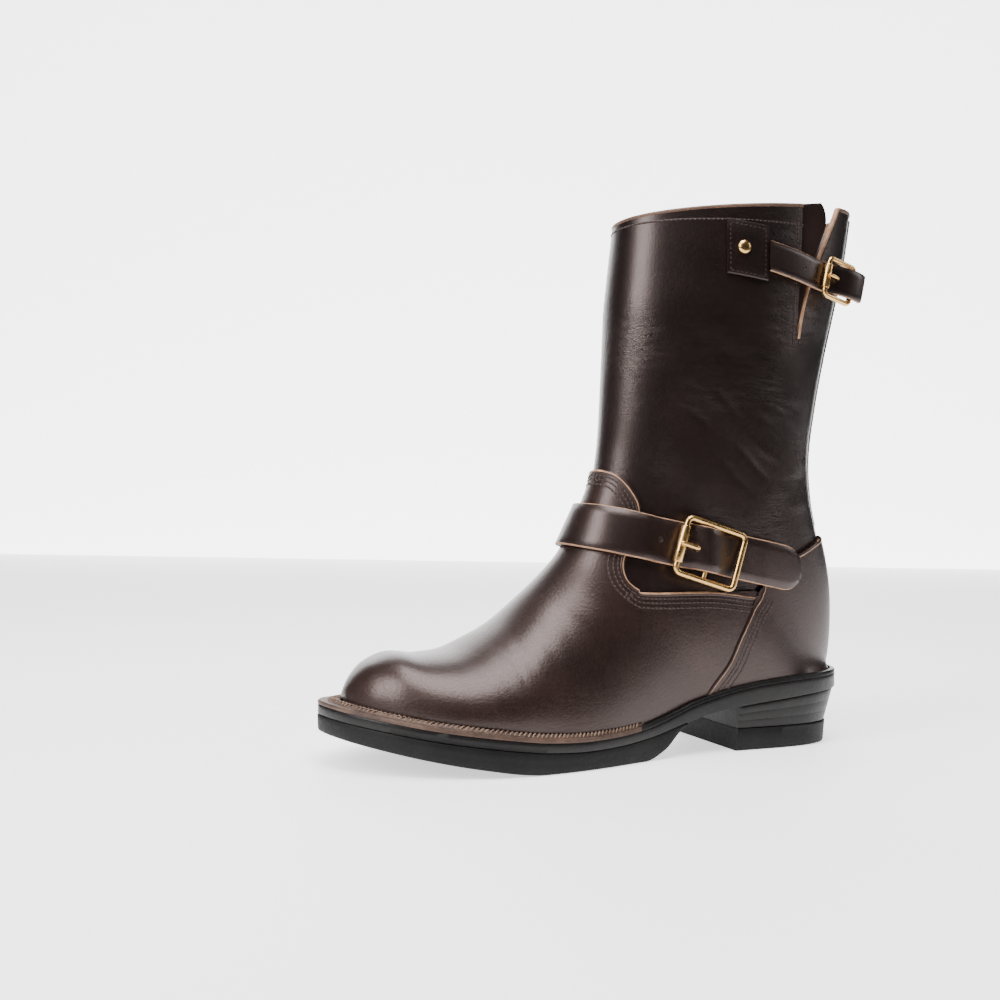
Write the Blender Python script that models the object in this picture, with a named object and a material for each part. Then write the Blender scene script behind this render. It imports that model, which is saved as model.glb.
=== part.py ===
import math

import bmesh
import bpy
import numpy as np

# Engineer boot for the left foot, in metres. It is drawn with "run" forward from the
# heel, "side" towards the wearer's left and "rise" up. Each solid is then turned so that
# the toe points to -Y, with the origin at the middle of the boot on the floor.

MM = 0.001
GAP = 0.35 * MM
WALL = 2.2 * MM
VAMP_THICK = 1.7 * MM
COUNTER_THICK = 2.2 * MM
STAY_THICK = 1.3 * MM
STRAP_THICK = 2.0 * MM
STRAP_WIDTH = 26 * MM
TOP_STRAP_WIDTH = 17 * MM
WELT_THICK = 3.4 * MM
INSOLE_THICK = 3.0 * MM
FOOT_SHARE = 0.86
SOLE_BACK = -7.5 * MM
SOLE_FRONT = 311.2 * MM
FOOT_BACK = -2.2 * MM
FOOT_FRONT = 297.7 * MM
HEEL_BREAST = 78 * MM
TOP_LIFT = 12.8 * MM
MIDDLE_SIDE = 2.55 * MM
MIDDLE_RUN = 147.7 * MM

# Sole edge seen from above, heel to toe: run, and the edge to each side, in mm.
SOLE_EDGE = [
    # run, lateral, medial
    (-7.5, 0.0, 0.0),
    (-6.5, 8.6, -8.4),
    (-3.5, 16.8, -16.4),
    (2.5, 24.6, -24.0),
    (11, 30.6, -29.6),
    (24, 35.0, -33.5),
    (44, 37.0, -34.8),
    (70, 37.2, -33.5),
    (98, 37.5, -29.8),
    (122, 40.0, -28.0),
    (146, 45.5, -31.5),
    (168, 51.5, -38.5),
    (190, 56.0, -46.0),
    (211, 58.0, -51.0),
    (231, 57.5, -53.0),
    (249, 54.0, -52.0),
    (266, 47.5, -48.5),
    (281, 39.0, -42.5),
    (293, 29.0, -34.5),
    (302, 18.5, -25.5),
    (308, 7.5, -16.0),
    (310.5, 0.0, -9.5),
    (311.2, -4.5, -4.5),
]

# Heights of the layers of the sole along the run, in mm.
SOLE_RISE = [
    # run, midsole top, midsole bottom, outsole bottom
    (-8, 41.0, 33.0, 0.0),
    (25, 40.0, 31.0, 0.0),
    (50, 38.3, 28.6, 0.0),
    (78, 34.7, 25.6, 0.0),
    (98, 30.2, 22.4, 21.9),
    (110, 27.0, 19.6, 19.0),
    (118, 24.2, 17.6, 14.0),
    (128, 21.0, 15.0, 5.0),
    (142, 17.6, 12.4, 0.0),
    (160, 15.6, 10.6, 0.0),
    (180, 15.0, 10.0, 0.0),
    (208, 16.4, 11.4, 0.0),
    (216, 17.3, 12.3, 0.6),
    (239, 20.3, 15.3, 4.0),
    (262, 23.4, 18.4, 7.9),
    (285, 27.2, 22.2, 12.4),
    (312, 31.6, 26.6, 17.8),
]

# Sections of the upper from toe tip to collar, in mm. Each is a slice through a front or
# ridge point and a low point: on the foot the low point lies on the sole, behind the heel
# it climbs the back seam. Swell is the greatest half width, ridge the side of the ridge.
SECTIONS = [
    # top run, top rise, low run, low rise, swell, ridge, front power, rear power, taper
    (296.5, 33.6, 296.9, 0.0, 3.4, -4.0, 1.0, 1.0, 0.0),
    (295.0, 39.0, 296.0, 0.0, 7.6, -4.0, 0.8, 1.0, 0.0),
    (290.5, 46.0, 292.5, 0.0, 15.0, -4.0, 0.75, 1.0, 0.0),
    (283.5, 52.0, 286.0, 0.0, 23.4, -4.0, 0.75, 1.0, 0.0),
    (272.0, 56.0, 275.5, 0.0, 32.6, -4.0, 0.78, 1.0, 0.0),
    (257.0, 54.8, 261.0, 0.0, 40.8, -4.0, 0.82, 1.0, 0.0),
    (239.5, 57.0, 245.0, 0.0, 46.2, -4.0, 0.9, 1.0, 0.0),
    (225.5, 63.6, 228.0, 0.0, 49.0, -4.0, 1.0, 1.0, 0.0),
    (210.3, 72.6, 208.0, 0.0, 49.2, -4.0, 1.05, 1.0, 0.0),
    (195.5, 86.0, 186.0, 0.0, 46.6, -3.5, 1.05, 1.0, 0.05),
    (181.5, 99.5, 162.0, 0.0, 42.8, -3.0, 1.05, 1.0, 0.1),
    (170.5, 112.5, 137.0, 0.0, 40.0, -2.0, 1.0, 1.0, 0.18),
    (163.8, 126.0, 110.0, 0.0, 38.6, -1.0, 0.95, 0.95, 0.22),
    (158.5, 139.0, 83.0, 0.0, 38.6, 0.0, 0.92, 0.9, 0.22),
    (154.0, 151.0, 56.0, 0.0, 39.0, 0.0, 0.92, 0.8, 0.24),
    (151.3, 163.0, 31.0, 0.0, 39.6, 0.0, 0.92, 0.7, 0.26),
    (149.8, 175.0, 11.0, 0.0, 40.4, 0.0, 0.92, 0.64, 0.28),
    (149.0, 187.0, -2.2, 0.0, 41.0, 0.0, 0.92, 0.62, 0.28),
    (148.5, 199.0, -3.2, 62.0, 41.6, 0.0, 0.92, 0.62, 0.28),
    (148.0, 211.0, -2.2, 83.0, 42.0, 0.0, 0.92, 0.64, 0.26),
    (147.5, 222.0, 1.8, 103.0, 42.3, 0.0, 0.92, 0.7, 0.22),
    (147.0, 233.0, 7.0, 121.0, 42.5, 0.0, 0.92, 0.78, 0.16),
    (146.5, 244.0, 12.2, 142.0, 42.8, 0.0, 0.92, 0.86, 0.1),
    (146.0, 255.0, 14.4, 168.0, 43.2, 0.0, 0.92, 0.9, 0.05),
    (145.0, 265.0, 11.4, 197.0, 43.6, 0.0, 0.92, 0.9, 0.0),
    (144.0, 275.0, 5.0, 230.0, 44.0, 0.0, 0.92, 0.9, 0.0),
    (143.0, 285.0, -2.2, 260.0, 44.2, 0.0, 0.92, 0.9, 0.0),
    (142.0, 294.0, -9.0, 290.0, 44.2, 0.0, 0.92, 0.9, 0.0),
    (141.2, 303.0, -14.0, 321.0, 43.8, 0.0, 0.92, 0.9, 0.0),
]

# Upper edge of the vamp seen from the side: front tab, the notch at the shaft, then the
# long edge back to the counter, in mm.
VAMP_EDGE = [
    (175, 159.5),
    (151.5, 158.5),
    (146.5, 155.5),
    (141, 147),
    (138, 137.5),
    (140, 125),
    (147.5, 112),
    (150, 104),
    (148.5, 97),
    (143, 92.3),
    (135, 90.4),
    (66.5, 91.6),
]

# Front edge of the counter from its corner down to the sole, in mm.
COUNTER_EDGE = [
    (65, 92.2),
    (69.6, 85),
    (72.6, 75.6),
    (78.6, 62.8),
    (85, 49.6),
    (97.5, 33),
    (104, 15),
]


def spline(xs, ys, x):
    """Smooth curve through the points that never overshoots them."""
    xs = np.asarray(xs, float)
    ys = np.asarray(ys, float)
    steps = np.diff(xs)
    rates = np.diff(ys) / steps
    slopes = np.zeros(len(xs))
    for i in range(1, len(xs) - 1):
        a, b = rates[i - 1], rates[i]
        if a * b > 0:
            w1 = 2 * steps[i] + steps[i - 1]
            w2 = steps[i] + 2 * steps[i - 1]
            slopes[i] = (w1 + w2) / (w1 / a + w2 / b)
    slopes[0] = rates[0]
    slopes[-1] = rates[-1]
    i = int(np.clip(np.searchsorted(xs, x) - 1, 0, len(xs) - 2))
    h = steps[i]
    u = min(max((x - xs[i]) / h, 0.0), 1.0)
    value = ys[i] * (1 + 2 * u) * (1 - u) ** 2 + ys[i + 1] * u * u * (3 - 2 * u)
    return value + h * (slopes[i] * u * (1 - u) ** 2 - slopes[i + 1] * u * u * (1 - u))


def through(rows, x):
    """Smooth curve through evenly spaced rows, for all the columns at once."""
    rows = np.asarray(rows, float)
    last = len(rows) - 1
    x = min(max(x, 0.0), float(last))
    i = min(int(x), last - 1)
    u = x - i
    p1, p2 = rows[i], rows[i + 1]
    m1 = (p2 - rows[i - 1]) / 2 if i > 0 else p2 - p1
    m2 = (rows[i + 2] - p1) / 2 if i + 2 <= last else p2 - p1
    value = p1 * (1 + 2 * u) * (1 - u) ** 2 + p2 * u * u * (3 - 2 * u)
    return value + m1 * u * (1 - u) ** 2 - m2 * u * u * (1 - u)


def layer_rise(column, run):
    """Height of a face of the sole at this run, with its column in SOLE_RISE."""
    return spline([r[0] for r in SOLE_RISE], [r[column] for r in SOLE_RISE], run / MM) * MM


EDGE_STEPS = 440
EDGE_DENSE = np.array(
    [through(SOLE_EDGE, i * (len(SOLE_EDGE) - 1) / EDGE_STEPS) for i in range(EDGE_STEPS + 1)]
) * MM


def sole_edge(share, inset=0.0):
    """Run, centre and half width of the sole's edge at a share 0 to 1 of its stations."""
    run, lateral, medial = through(SOLE_EDGE, share * (len(SOLE_EDGE) - 1)) * MM
    middle = (SOLE_BACK + SOLE_FRONT) / 2
    half_length = (SOLE_FRONT - SOLE_BACK) / 2
    run = middle + (run - middle) * (1 - inset / half_length)
    half = (lateral - medial) / 2 * (1 - inset / (50 * MM))
    return run, (lateral + medial) / 2, half


def foot_line(share, outset=0.0):
    """The same for the line where the upper stands on the midsole."""
    run, centre, half = sole_edge(share)
    run = FOOT_BACK + (run - SOLE_BACK) * (FOOT_FRONT - FOOT_BACK) / (SOLE_FRONT - SOLE_BACK)
    middle = (FOOT_BACK + FOOT_FRONT) / 2
    run = middle + (run - middle) * (1 + 2 * outset / (FOOT_FRONT - FOOT_BACK))
    return run, centre * FOOT_SHARE, half * FOOT_SHARE * (1 + outset / (40 * MM))


def foot_at(run):
    """Centre and half width of the foot line at this run."""
    share = (run - FOOT_BACK) / (FOOT_FRONT - FOOT_BACK)
    at = SOLE_BACK + min(max(share, 0.0), 1.0) * (SOLE_FRONT - SOLE_BACK)
    lateral = np.interp(at, EDGE_DENSE[:, 0], EDGE_DENSE[:, 1])
    medial = np.interp(at, EDGE_DENSE[:, 0], EDGE_DENSE[:, 2])
    return (lateral + medial) / 2 * FOOT_SHARE, (lateral - medial) / 2 * FOOT_SHARE


def half_width(angle, swell, front, rear, taper):
    power = front if angle < math.pi / 2 else rear
    return swell * max(math.sin(angle), 0.0) ** power * (1 - taper * (1 - math.cos(angle)) / 2)


HEEL_ROW = 17.0
LAST_ROW = float(len(SECTIONS) - 1)


def low_rows():
    """The section rows with the foot's low points set on the midsole."""
    rows = []
    for i, row in enumerate(SECTIONS):
        row = list(row)
        if i <= HEEL_ROW:
            row[3] = (layer_rise(1, row[2] * MM) + GAP) / MM
        rows.append(row)
    return np.array(rows)


ROWS = low_rows()


def section(s):
    """Section values at s rows from the toe: the points, and the angle of its low end."""
    row = through(ROWS, s)
    top = np.array([row[0], row[1]]) * MM
    low = np.array([row[2], row[3]]) * MM
    swell = row[4] * MM
    if s < HEEL_ROW:
        low[1] = layer_rise(1, low[0]) + GAP
        centre, half = foot_at(low[0])
    else:
        centre, half = 0.0, 0.0
    swell = max(swell, half * 1.015)
    lowest, highest = math.pi / 2, math.pi
    for _ in range(30):
        middle = (lowest + highest) / 2
        if half_width(middle, swell, row[6], row[7], row[8]) > half:
            lowest = middle
        else:
            highest = middle
    return top, low, swell, row[5] * MM, centre, row[6], row[7], row[8], (lowest + highest) / 2


def spread(s):
    """How far the lines along the upper keep to its front, which lets them turn at the heel."""
    return spline([0, 13, 15, 17, 19, 22, 25, 28], [1, 1, 1.2, 1.6, 1.5, 1.25, 1.1, 1], s)


KEPT = {}


def surface(s, t):
    """Point of the upper's outer face: s rows from the toe, t from -1 medial to 1 lateral."""
    key = round(s, 6)
    if key not in KEPT:
        KEPT[key] = (*section(s), spread(s))
    top, low, swell, ridge, centre, front, rear, taper, end, power = KEPT[key]
    angle = min(abs(t), 1.0) ** power * end
    u = (1 - math.cos(angle)) / (1 - math.cos(end))
    run, rise = top + (low - top) * u
    side = ridge * (1 - u) + centre * u
    width = half_width(angle, swell, front, rear, taper)
    return np.array([run, side + math.copysign(width, t), rise])


def upper_point(s, t, out=0.0):
    """The same point moved out along the face's normal."""
    if out == 0.0:
        return surface(s, t)
    d = 0.02
    s0, s1 = max(s - 0.12, 0.02), min(s + 0.12, LAST_ROW)
    if abs(s - HEEL_ROW) < 0.15:
        s0, s1 = HEEL_ROW + 0.03, HEEL_ROW + 0.3
    if abs(t) > 1 - d and s >= HEEL_ROW:
        across = surface(s, 1 - d) - surface(s, -(1 - d))
        across = across * -1
    else:
        t0, t1 = max(t - d, -1), min(t + d, 1)
        across = surface(s, t1) - surface(s, t0)
    along = surface(s1, t) - surface(s0, t)
    normal = np.cross(across, along)
    size = np.linalg.norm(normal)
    return surface(s, t) + normal / size * out


def solid(name, points, faces, colour, rough=0.5, metal=0.0):
    """Object with the toe to -Y, the lateral side to +X and the origin below its middle."""
    mesh = bpy.data.meshes.new(name)
    turned = [(p[1] - MIDDLE_SIDE, MIDDLE_RUN - p[0], p[2]) for p in points]
    mesh.from_pydata(turned, [], faces)
    obj = bpy.data.objects.new(name, mesh)
    parts.objects.link(obj)
    shape = bmesh.new()
    shape.from_mesh(mesh)
    bmesh.ops.remove_doubles(shape, verts=shape.verts, dist=1e-6)
    bmesh.ops.dissolve_degenerate(shape, edges=shape.edges, dist=1e-6)
    bmesh.ops.recalc_face_normals(shape, faces=shape.faces)
    shape.to_mesh(mesh)
    shape.free()
    mesh.shade_smooth()
    mesh.set_sharp_from_angle(angle=math.radians(35))
    paint(obj, colour, rough, metal)
    return obj


def paint(obj, colour, rough, metal):
    material = bpy.data.materials.new(obj.name)
    material.use_nodes = True
    shader = material.node_tree.nodes["Principled BSDF"]
    shader.inputs["Base Color"].default_value = (*colour, 1)
    shader.inputs["Roughness"].default_value = rough
    shader.inputs["Metallic"].default_value = metal
    obj.data.materials.clear()
    obj.data.materials.append(material)


def grid_faces(rows, columns, start, mirrored=False):
    """Triangles of a grid. Mirrored, the two halves of each row are split alike."""
    faces = []
    for i in range(rows - 1):
        for j in range(columns - 1):
            a = start + i * columns + j
            b, c, d = a + 1, a + 1 + columns, a + columns
            if mirrored and j >= (columns - 1) / 2:
                faces += [(a, b, d), (b, c, d)]
            else:
                faces += [(a, b, c), (a, c, d)]
    return faces


def boot_shell(name, stations, ts, outer, inner, colour, lower=1.0, rough=0.5):
    """Hollow skin over the upper's face, open below and at the last station."""
    points, faces = [], []
    columns = len(ts)
    for out in (outer, inner):
        start = len(points)
        for s in stations:
            for t in ts:
                limit = lower + (1 - lower) * min(max((s - 14) / (HEEL_ROW - 14), 0.0), 1.0) ** 2
                held = min(max(t, -limit), limit)
                point = upper_point(s, held, out)
                if abs(held) == limit and s < HEEL_ROW - 0.01:
                    point[2] = surface(s, held)[2]
                point[2] = max(point[2], layer_rise(1, point[0]) + GAP)
                points.append(point)
        grid = grid_faces(len(stations), columns, start, True)
        faces += grid if out == outer else [f[::-1] for f in grid]
    layer = len(stations) * columns

    def at(i, j, k):
        return k * layer + i * columns + j

    last = len(stations) - 1
    for j in range(columns - 1):
        faces.append((at(0, j, 0), at(0, j, 1), at(0, j + 1, 1), at(0, j + 1, 0)))
        faces.append((at(last, j, 0), at(last, j + 1, 0), at(last, j + 1, 1), at(last, j, 1)))
    for i in range(last):
        if stations[i] >= HEEL_ROW - 0.001:
            continue
        faces.append((at(i, 0, 0), at(i + 1, 0, 0), at(i + 1, 0, 1), at(i, 0, 1)))
        e = columns - 1
        faces.append((at(i, e, 0), at(i, e, 1), at(i + 1, e, 1), at(i + 1, e, 0)))
    return solid(name, points, faces, colour, rough)


def patch(name, path, outer, inner, colour, rough=0.5, metal=0.0):
    """Closed skin over a grid of (s, t) places, with its own height at each place."""
    rows, columns = len(path), len(path[0])
    points = []
    for out in (outer, inner):
        for row in path:
            for place in row:
                s, t, lift = place
                points.append(upper_point(s, t, out + lift))
    return closed_grid(name, points, rows, columns, colour, rough, metal)


def closed_grid(name, points, rows, columns, colour, rough=0.5, metal=0.0):
    """Closed body from two grids of points, the first outside the second."""
    layer = rows * columns
    faces = grid_faces(rows, columns, 0)
    faces += [f[::-1] for f in grid_faces(rows, columns, layer)]
    rim = [(0, j) for j in range(columns)] + [(i, columns - 1) for i in range(1, rows)]
    rim += [(rows - 1, j) for j in range(columns - 2, -1, -1)]
    rim += [(i, 0) for i in range(rows - 2, 0, -1)]
    ring = [i * columns + j for i, j in rim]
    for k, a in enumerate(ring):
        b = ring[(k + 1) % len(ring)]
        faces.append((b, a, a + layer, b + layer))
    return solid(name, points, faces, colour, rough, metal)


def slab(name, shares, edges, heights, colour, rough=0.6):
    """Layer of the sole: an edge and a height for its top face, then for its lower one."""
    points = []
    for edge, height in zip(edges, heights):
        for share in shares:
            run, centre, half = edge(share)
            z = height(run)
            points.append(np.array([run, centre - half, z]))
            points.append(np.array([run, centre + half, z]))
    return closed_grid(name, points, len(shares), 2, colour, rough)


def heel_edge(side_in, back_in):
    """Edge of a heel layer, drawn in at the sides and more at the back."""
    def edge(share):
        run, centre, half = sole_edge(share)
        run = HEEL_BREAST + (run - HEEL_BREAST) * (1 - back_in / (HEEL_BREAST - SOLE_BACK))
        return run, centre, half * (1 - side_in / (37 * MM))
    return edge


def ring(name, stations, inner_out, thick, bevel, colour, rough=0.6):
    """Strip along the edge of the sole, outside the upper, on top of the midsole."""
    points, faces = [], []
    for share, side in stations:
        run, centre, half = sole_edge(share, 0.4 * MM)
        z = layer_rise(1, run)
        points.append(np.array([run, centre + side * half, z + GAP + thick - bevel]))
        points.append(np.array([run, centre + side * half, z + GAP]))
        run, centre, half = foot_line(share, inner_out)
        z = layer_rise(1, run)
        points.append(np.array([run, centre + side * half, z + GAP]))
        points.append(np.array([run, centre + side * half, z + GAP + thick]))
        run, centre, half = sole_edge(share, 0.4 * MM + bevel)
        z = layer_rise(1, run)
        points.append(np.array([run, centre + side * half, z + GAP + thick]))
    corners = 5
    last = corners * (len(stations) - 1)
    for i in range(len(stations) - 1):
        for j in range(corners):
            a, b = corners * i + j, corners * i + (j + 1) % corners
            faces += [(a, b, b + corners), (a, b + corners, a + corners)]
    for start in (0, last):
        end = [(start, start + 1, start + 4), (start + 1, start + 3, start + 4)]
        faces += end + [(start + 1, start + 2, start + 3)]
    return solid(name, points, faces, colour, rough)


def tube(name, path, radius, closed, colour, rough=0.3, metal=1.0, sides=10):
    """Round bar along a path of points, with one radius for each point."""
    points, faces = [], []
    count = len(path)
    for i, centre in enumerate(path):
        if closed:
            ahead = path[(i + 1) % count] - path[i - 1]
        else:
            ahead = path[min(i + 1, count - 1)] - path[max(i - 1, 0)]
        ahead = ahead / np.linalg.norm(ahead)
        first = np.cross(ahead, tube_up)
        first = first / np.linalg.norm(first)
        second = np.cross(ahead, first)
        r = radius[i] if isinstance(radius, list) else radius
        for k in range(sides):
            a = 2 * math.pi * k / sides
            points.append(centre + first * r * math.cos(a) + second * r * math.sin(a))
    for i in range(count if closed else count - 1):
        for k in range(sides):
            a, b = i * sides + k, i * sides + (k + 1) % sides
            c, d = (b + sides) % (count * sides), (a + sides) % (count * sides)
            faces.append((a, b, c, d))
    if not closed:
        faces.append(tuple(range(sides))[::-1])
        faces.append(tuple(range((count - 1) * sides, count * sides)))
    return solid(name, points, faces, colour, rough, metal)


class Seat:
    """Flat place for a fitting: a spot on the face, the way along, across and outward."""

    def __init__(self, run, rise, along_run, along_rise, lift=0.0):
        self.origin = upper_point(*place_on(run, rise, 1), 0.0)
        outer = upper_point(*place_on(run, rise, 1), 1 * MM)
        self.out = (outer - self.origin) / np.linalg.norm(outer - self.origin)
        ahead = upper_point(*place_on(run + along_run / 2, rise + along_rise / 2, 1), 0.0)
        behind = upper_point(*place_on(run - along_run / 2, rise - along_rise / 2, 1), 0.0)
        way = ahead - behind
        way = way - self.out * np.dot(way, self.out)
        self.way = way / np.linalg.norm(way)
        self.across = np.cross(self.out, self.way)
        if self.across[2] < 0:
            self.across = -self.across
        self.origin = self.origin + self.out * lift

    def at(self, u, v, w=0.0):
        return self.origin + self.way * u + self.across * v + self.out * w


def frame_path(seat, half_u, half_v, corner):
    """Rounded rectangle round a seat."""
    path = []
    for cu, cv, start in ((1, 1, 0), (-1, 1, 90), (-1, -1, 180), (1, -1, 270)):
        for k in range(4):
            a = math.radians(start + 30 * k)
            u = cu * (half_u - corner) + corner * math.cos(a)
            v = cv * (half_v - corner) + corner * math.sin(a)
            path.append(seat.at(u, v))
    return path


def strap_body(name, stations, colour, rough=0.5):
    """Strap from stations of (low, high) point rows across its width."""
    rows, columns = len(stations), len(stations[0][0])
    points = [p for high, _ in stations for p in high] + [p for _, low in stations for p in low]
    return closed_grid(name, points, rows, columns, colour, rough)


def prism(name, outline):
    """Cutter as deep as the boot is wide, from an outline seen from the side."""
    points = [np.array([x * MM, side, z * MM]) for side in (-0.12, 0.12) for x, z in outline]
    count = len(outline)
    faces = [tuple(range(count)), tuple(range(2 * count - 1, count - 1, -1))]
    for i in range(count):
        j = (i + 1) % count
        faces.append((i, i + count, j + count, j))
    obj = solid(name, points, faces, (0.5, 0.5, 0.5))
    parts.objects.unlink(obj)
    cutters.objects.link(obj)
    obj.hide_render = True
    obj.display_type = "WIRE"
    return obj


def cut(obj, cutter, operation="DIFFERENCE"):
    modifier = obj.modifiers.new(cutter.name, "BOOLEAN")
    modifier.operation = operation
    modifier.solver = "EXACT"
    modifier.object = cutter


def place_on(run, rise, side):
    """The (s, t) of a spot given as seen from the side, on the lateral (1) or medial (-1) face."""
    spot = np.array([run, rise])
    low, high = 0.0, LAST_ROW

    def turn(s):
        top, bottom = section(s)[:2]
        a, b = bottom - top, spot - top
        return a[0] * b[1] - a[1] * b[0]

    for _ in range(34):
        middle = (low + high) / 2
        if turn(middle) > 0:
            high = middle
        else:
            low = middle
    s = (low + high) / 2
    top, bottom, *_, end = section(s)
    u = np.dot(spot - top, bottom - top) / np.dot(bottom - top, bottom - top)
    u = min(max(u, 0.0), 1.0)
    share = math.acos(1 - u * (1 - math.cos(end))) / end
    return s, side * share ** (1 / spread(s))


def turn_at(s, phi, hub):
    """The t on row s that is seen at the angle phi round an upright axis at the run hub."""
    low, high = 0.0, 1.0
    for _ in range(22):
        middle = (low + high) / 2
        run, side, _ = surface(s, middle if phi >= 0 else -middle)
        if math.atan2(abs(side), run - hub) < abs(phi):
            low = middle
        else:
            high = middle
    return (low + high) / 2 * (1 if phi >= 0 else -1)


def spin_place(phi, rise, slope=0.0, datum=0.0, hub=80 * MM):
    """The (s, t) at the angle phi where a sloping level crosses the face."""
    low, high = 8.0, LAST_ROW
    for _ in range(22):
        middle = (low + high) / 2
        run, _, z = surface(middle, turn_at(middle, phi, hub))
        if z - slope * (run - datum) < rise:
            low = middle
        else:
            high = middle
    s = (low + high) / 2
    return s, turn_at(s, phi, hub)


for obj in list(bpy.data.objects):
    bpy.data.objects.remove(obj)
parts = bpy.data.collections.new("engineer_boot")
cutters = bpy.data.collections.new("cutters")
bpy.context.scene.collection.children.link(parts)
bpy.context.scene.collection.children.link(cutters)

SHAFT_BROWN = (0.035, 0.024, 0.02)
VAMP_BROWN = (0.07, 0.045, 0.035)
BLACK = (0.015, 0.014, 0.014)

# Upper: one hollow leather body from the toe to the collar.
toe_rows = [0, 0.5, 1, 1.6, 2.3, 3, 3.8, 4.6]
foot_rows = [5.5, 6.4, 7.3, 8.2, 9.2, 10.2, 11.1, 12, 12.8, 13.6, 14.3, 14.9, 15.5, 16, 16.45, 16.8]
shaft_rows = [17, 17.6, 18.4, 19.2, 20, 20.7, 21.3, 22, 22.8, 23.8, 25, 26, 27, 28]
upper_rows = [float(r) for r in toe_rows + foot_rows + shaft_rows]
around = [math.sin(k * math.pi / 26) * 0.35 + k / 13 * 0.65 for k in range(-13, 14)]
upper = boot_shell("upper", upper_rows, around, 0.0, -WALL, SHAFT_BROWN)

# Vamp and counter: thicker skins over the foot, cut along their edges.
vamp_rows = [r for r in upper_rows if r < 17.5]
vamp = boot_shell("vamp", vamp_rows, around, GAP + VAMP_THICK, GAP, VAMP_BROWN, 0.975)
counter_rows = [r for r in upper_rows if 10.5 < r < 24]
counter = boot_shell(
    "counter", counter_rows, around, GAP + COUNTER_THICK, 1.4 * GAP, VAMP_BROWN, 0.975
)
far = [(-60, 15), (-60, 420), (175, 420)]
cut(vamp, prism("vamp_cutter", VAMP_EDGE + COUNTER_EDGE + far))
counter_outline = [(run - 0.4, rise) for run, rise in COUNTER_EDGE[:-1]]
counter_outline += [(94, 34.2), (78, 38.2), (50, 41.8), (25, 43.4), (-60, 44.4)]
counter_outline += [(-60, 122.5), (6, 121.5), (20, 117.5), (36, 110), (50, 101)]
cut(counter, prism("counter_keeper", counter_outline), "INTERSECT")

# Sole: insole, midsole, welt, rand, outsole, heel and top lift.
SOLE_LAST = len(SOLE_EDGE) - 1
full = [q / SOLE_LAST for q in (0, 0.5, 1, 2, 3, 4, 5, 6, 7, 8, 8.5, 9, 9.5)]
full += [q / 2 / SOLE_LAST for q in range(20, 2 * SOLE_LAST + 1)]


def flat(height):
    return lambda run: height


def layer(column, lift=0.0):
    return lambda run: layer_rise(column, run) + lift


def inside(share):
    return foot_line(share, -WALL - 1.9 * MM)


def plain(inset):
    return lambda share: sole_edge(share, inset)


slab(
    "insole",
    full,
    (inside, inside),
    (layer(1, GAP + INSOLE_THICK), layer(1, GAP)),
    (0.25, 0.17, 0.11),
)
slab("midsole", full, (plain(0.6 * MM),) * 2, (layer(1), layer(2)), BLACK)
half_sole = [8.62, 8.8, 9, 9.25, 9.5, 9.8, 10.2] + [q / 2 for q in range(21, 2 * SOLE_LAST + 1)]
slab(
    "outsole",
    [q / SOLE_LAST for q in half_sole],
    (plain(0.2 * MM), plain(0.9 * MM)),
    (layer(2, -GAP), layer(3)),
    BLACK,
)
breast = 7.2857
heel_shares = [q / SOLE_LAST for q in (0, 0.5, 1, 1.5, 2, 2.5, 3, 4, 5, 6, 7, breast)]
slab(
    "heel_stack",
    heel_shares,
    (heel_edge(1.0 * MM, 1.6 * MM), heel_edge(2.6 * MM, 7.4 * MM)),
    (layer(2, -GAP), flat(TOP_LIFT + GAP)),
    BLACK,
)
slab(
    "top_lift",
    heel_shares,
    (heel_edge(2.2 * MM, 6.8 * MM), heel_edge(3.0 * MM, 7.6 * MM)),
    (flat(TOP_LIFT), flat(0.0)),
    BLACK,
)
fore = [q / 2 / SOLE_LAST for q in range(20, 2 * SOLE_LAST)]
welt_stations = [(q, 1) for q in fore] + [(1.0, 1)] + [(q, -1) for q in reversed(fore)]
ring("welt", welt_stations, 3.8 * MM, WELT_THICK, 1.0 * MM, (0.16, 0.11, 0.08))
back = [q / SOLE_LAST for q in (0.5, 1, 2, 3, 4, 5, 6, 7, 8, 8.5, 9, 9.5, 9.9)]
rand_stations = [(q, 1) for q in reversed(back)] + [(0.0, 1)] + [(q, -1) for q in back]
ring("rand", rand_stations, 3.7 * MM, 2.6 * MM, 0.8 * MM, BLACK)

# Back stay over the seam of the shaft, from the counter to the collar.
stay_rows = [21.3, 22.0, 22.8, 23.8, 25.0, 26.0, 27.0, 28.0]
stay_ts = [around[-3], around[-2], 1.0, around[1], around[2]]
patch(
    "back_stay",
    [[(s, t, 0.0) for t in stay_ts] for s in stay_rows],
    GAP + STAY_THICK,
    GAP,
    SHAFT_BROWN,
)

# Gusset: a folded leather wedge in a slit of the shaft, behind the buckle strap.
SLIT = [
    # rise, run of the front edge, run of the rear edge
    (236, 46.0, 45.0),
    (247, 45.8, 43.4),
    (258, 45.6, 41.0),
    (268, 45.4, 38.0),
    (280, 45.2, 33.0),
    (292, 45.0, 27.0),
    (303, 44.8, 21.0),
    (312, 44.6, 16.0),
]


def slit_places(table, inset):
    """Rows of (s, t) across the slit, drawn in from its two edges."""
    rows = []
    for rise, front, rear in table:
        a = place_on((front - inset) * MM, rise * MM, 1)
        b = place_on((rear + inset) * MM, rise * MM, 1)
        row = []
        for k in range(4):
            s = min(a[0] + (b[0] - a[0]) * k / 3, LAST_ROW)
            row.append((s, a[1] + (b[1] - a[1]) * k / 3, 0.0))
        rows.append(row)
    first, last = rows[-1][0], rows[-1][-1]
    rows.append([(LAST_ROW, first[1] + (last[1] - first[1]) * k / 3, 0.0) for k in range(4)])
    return rows


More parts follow.
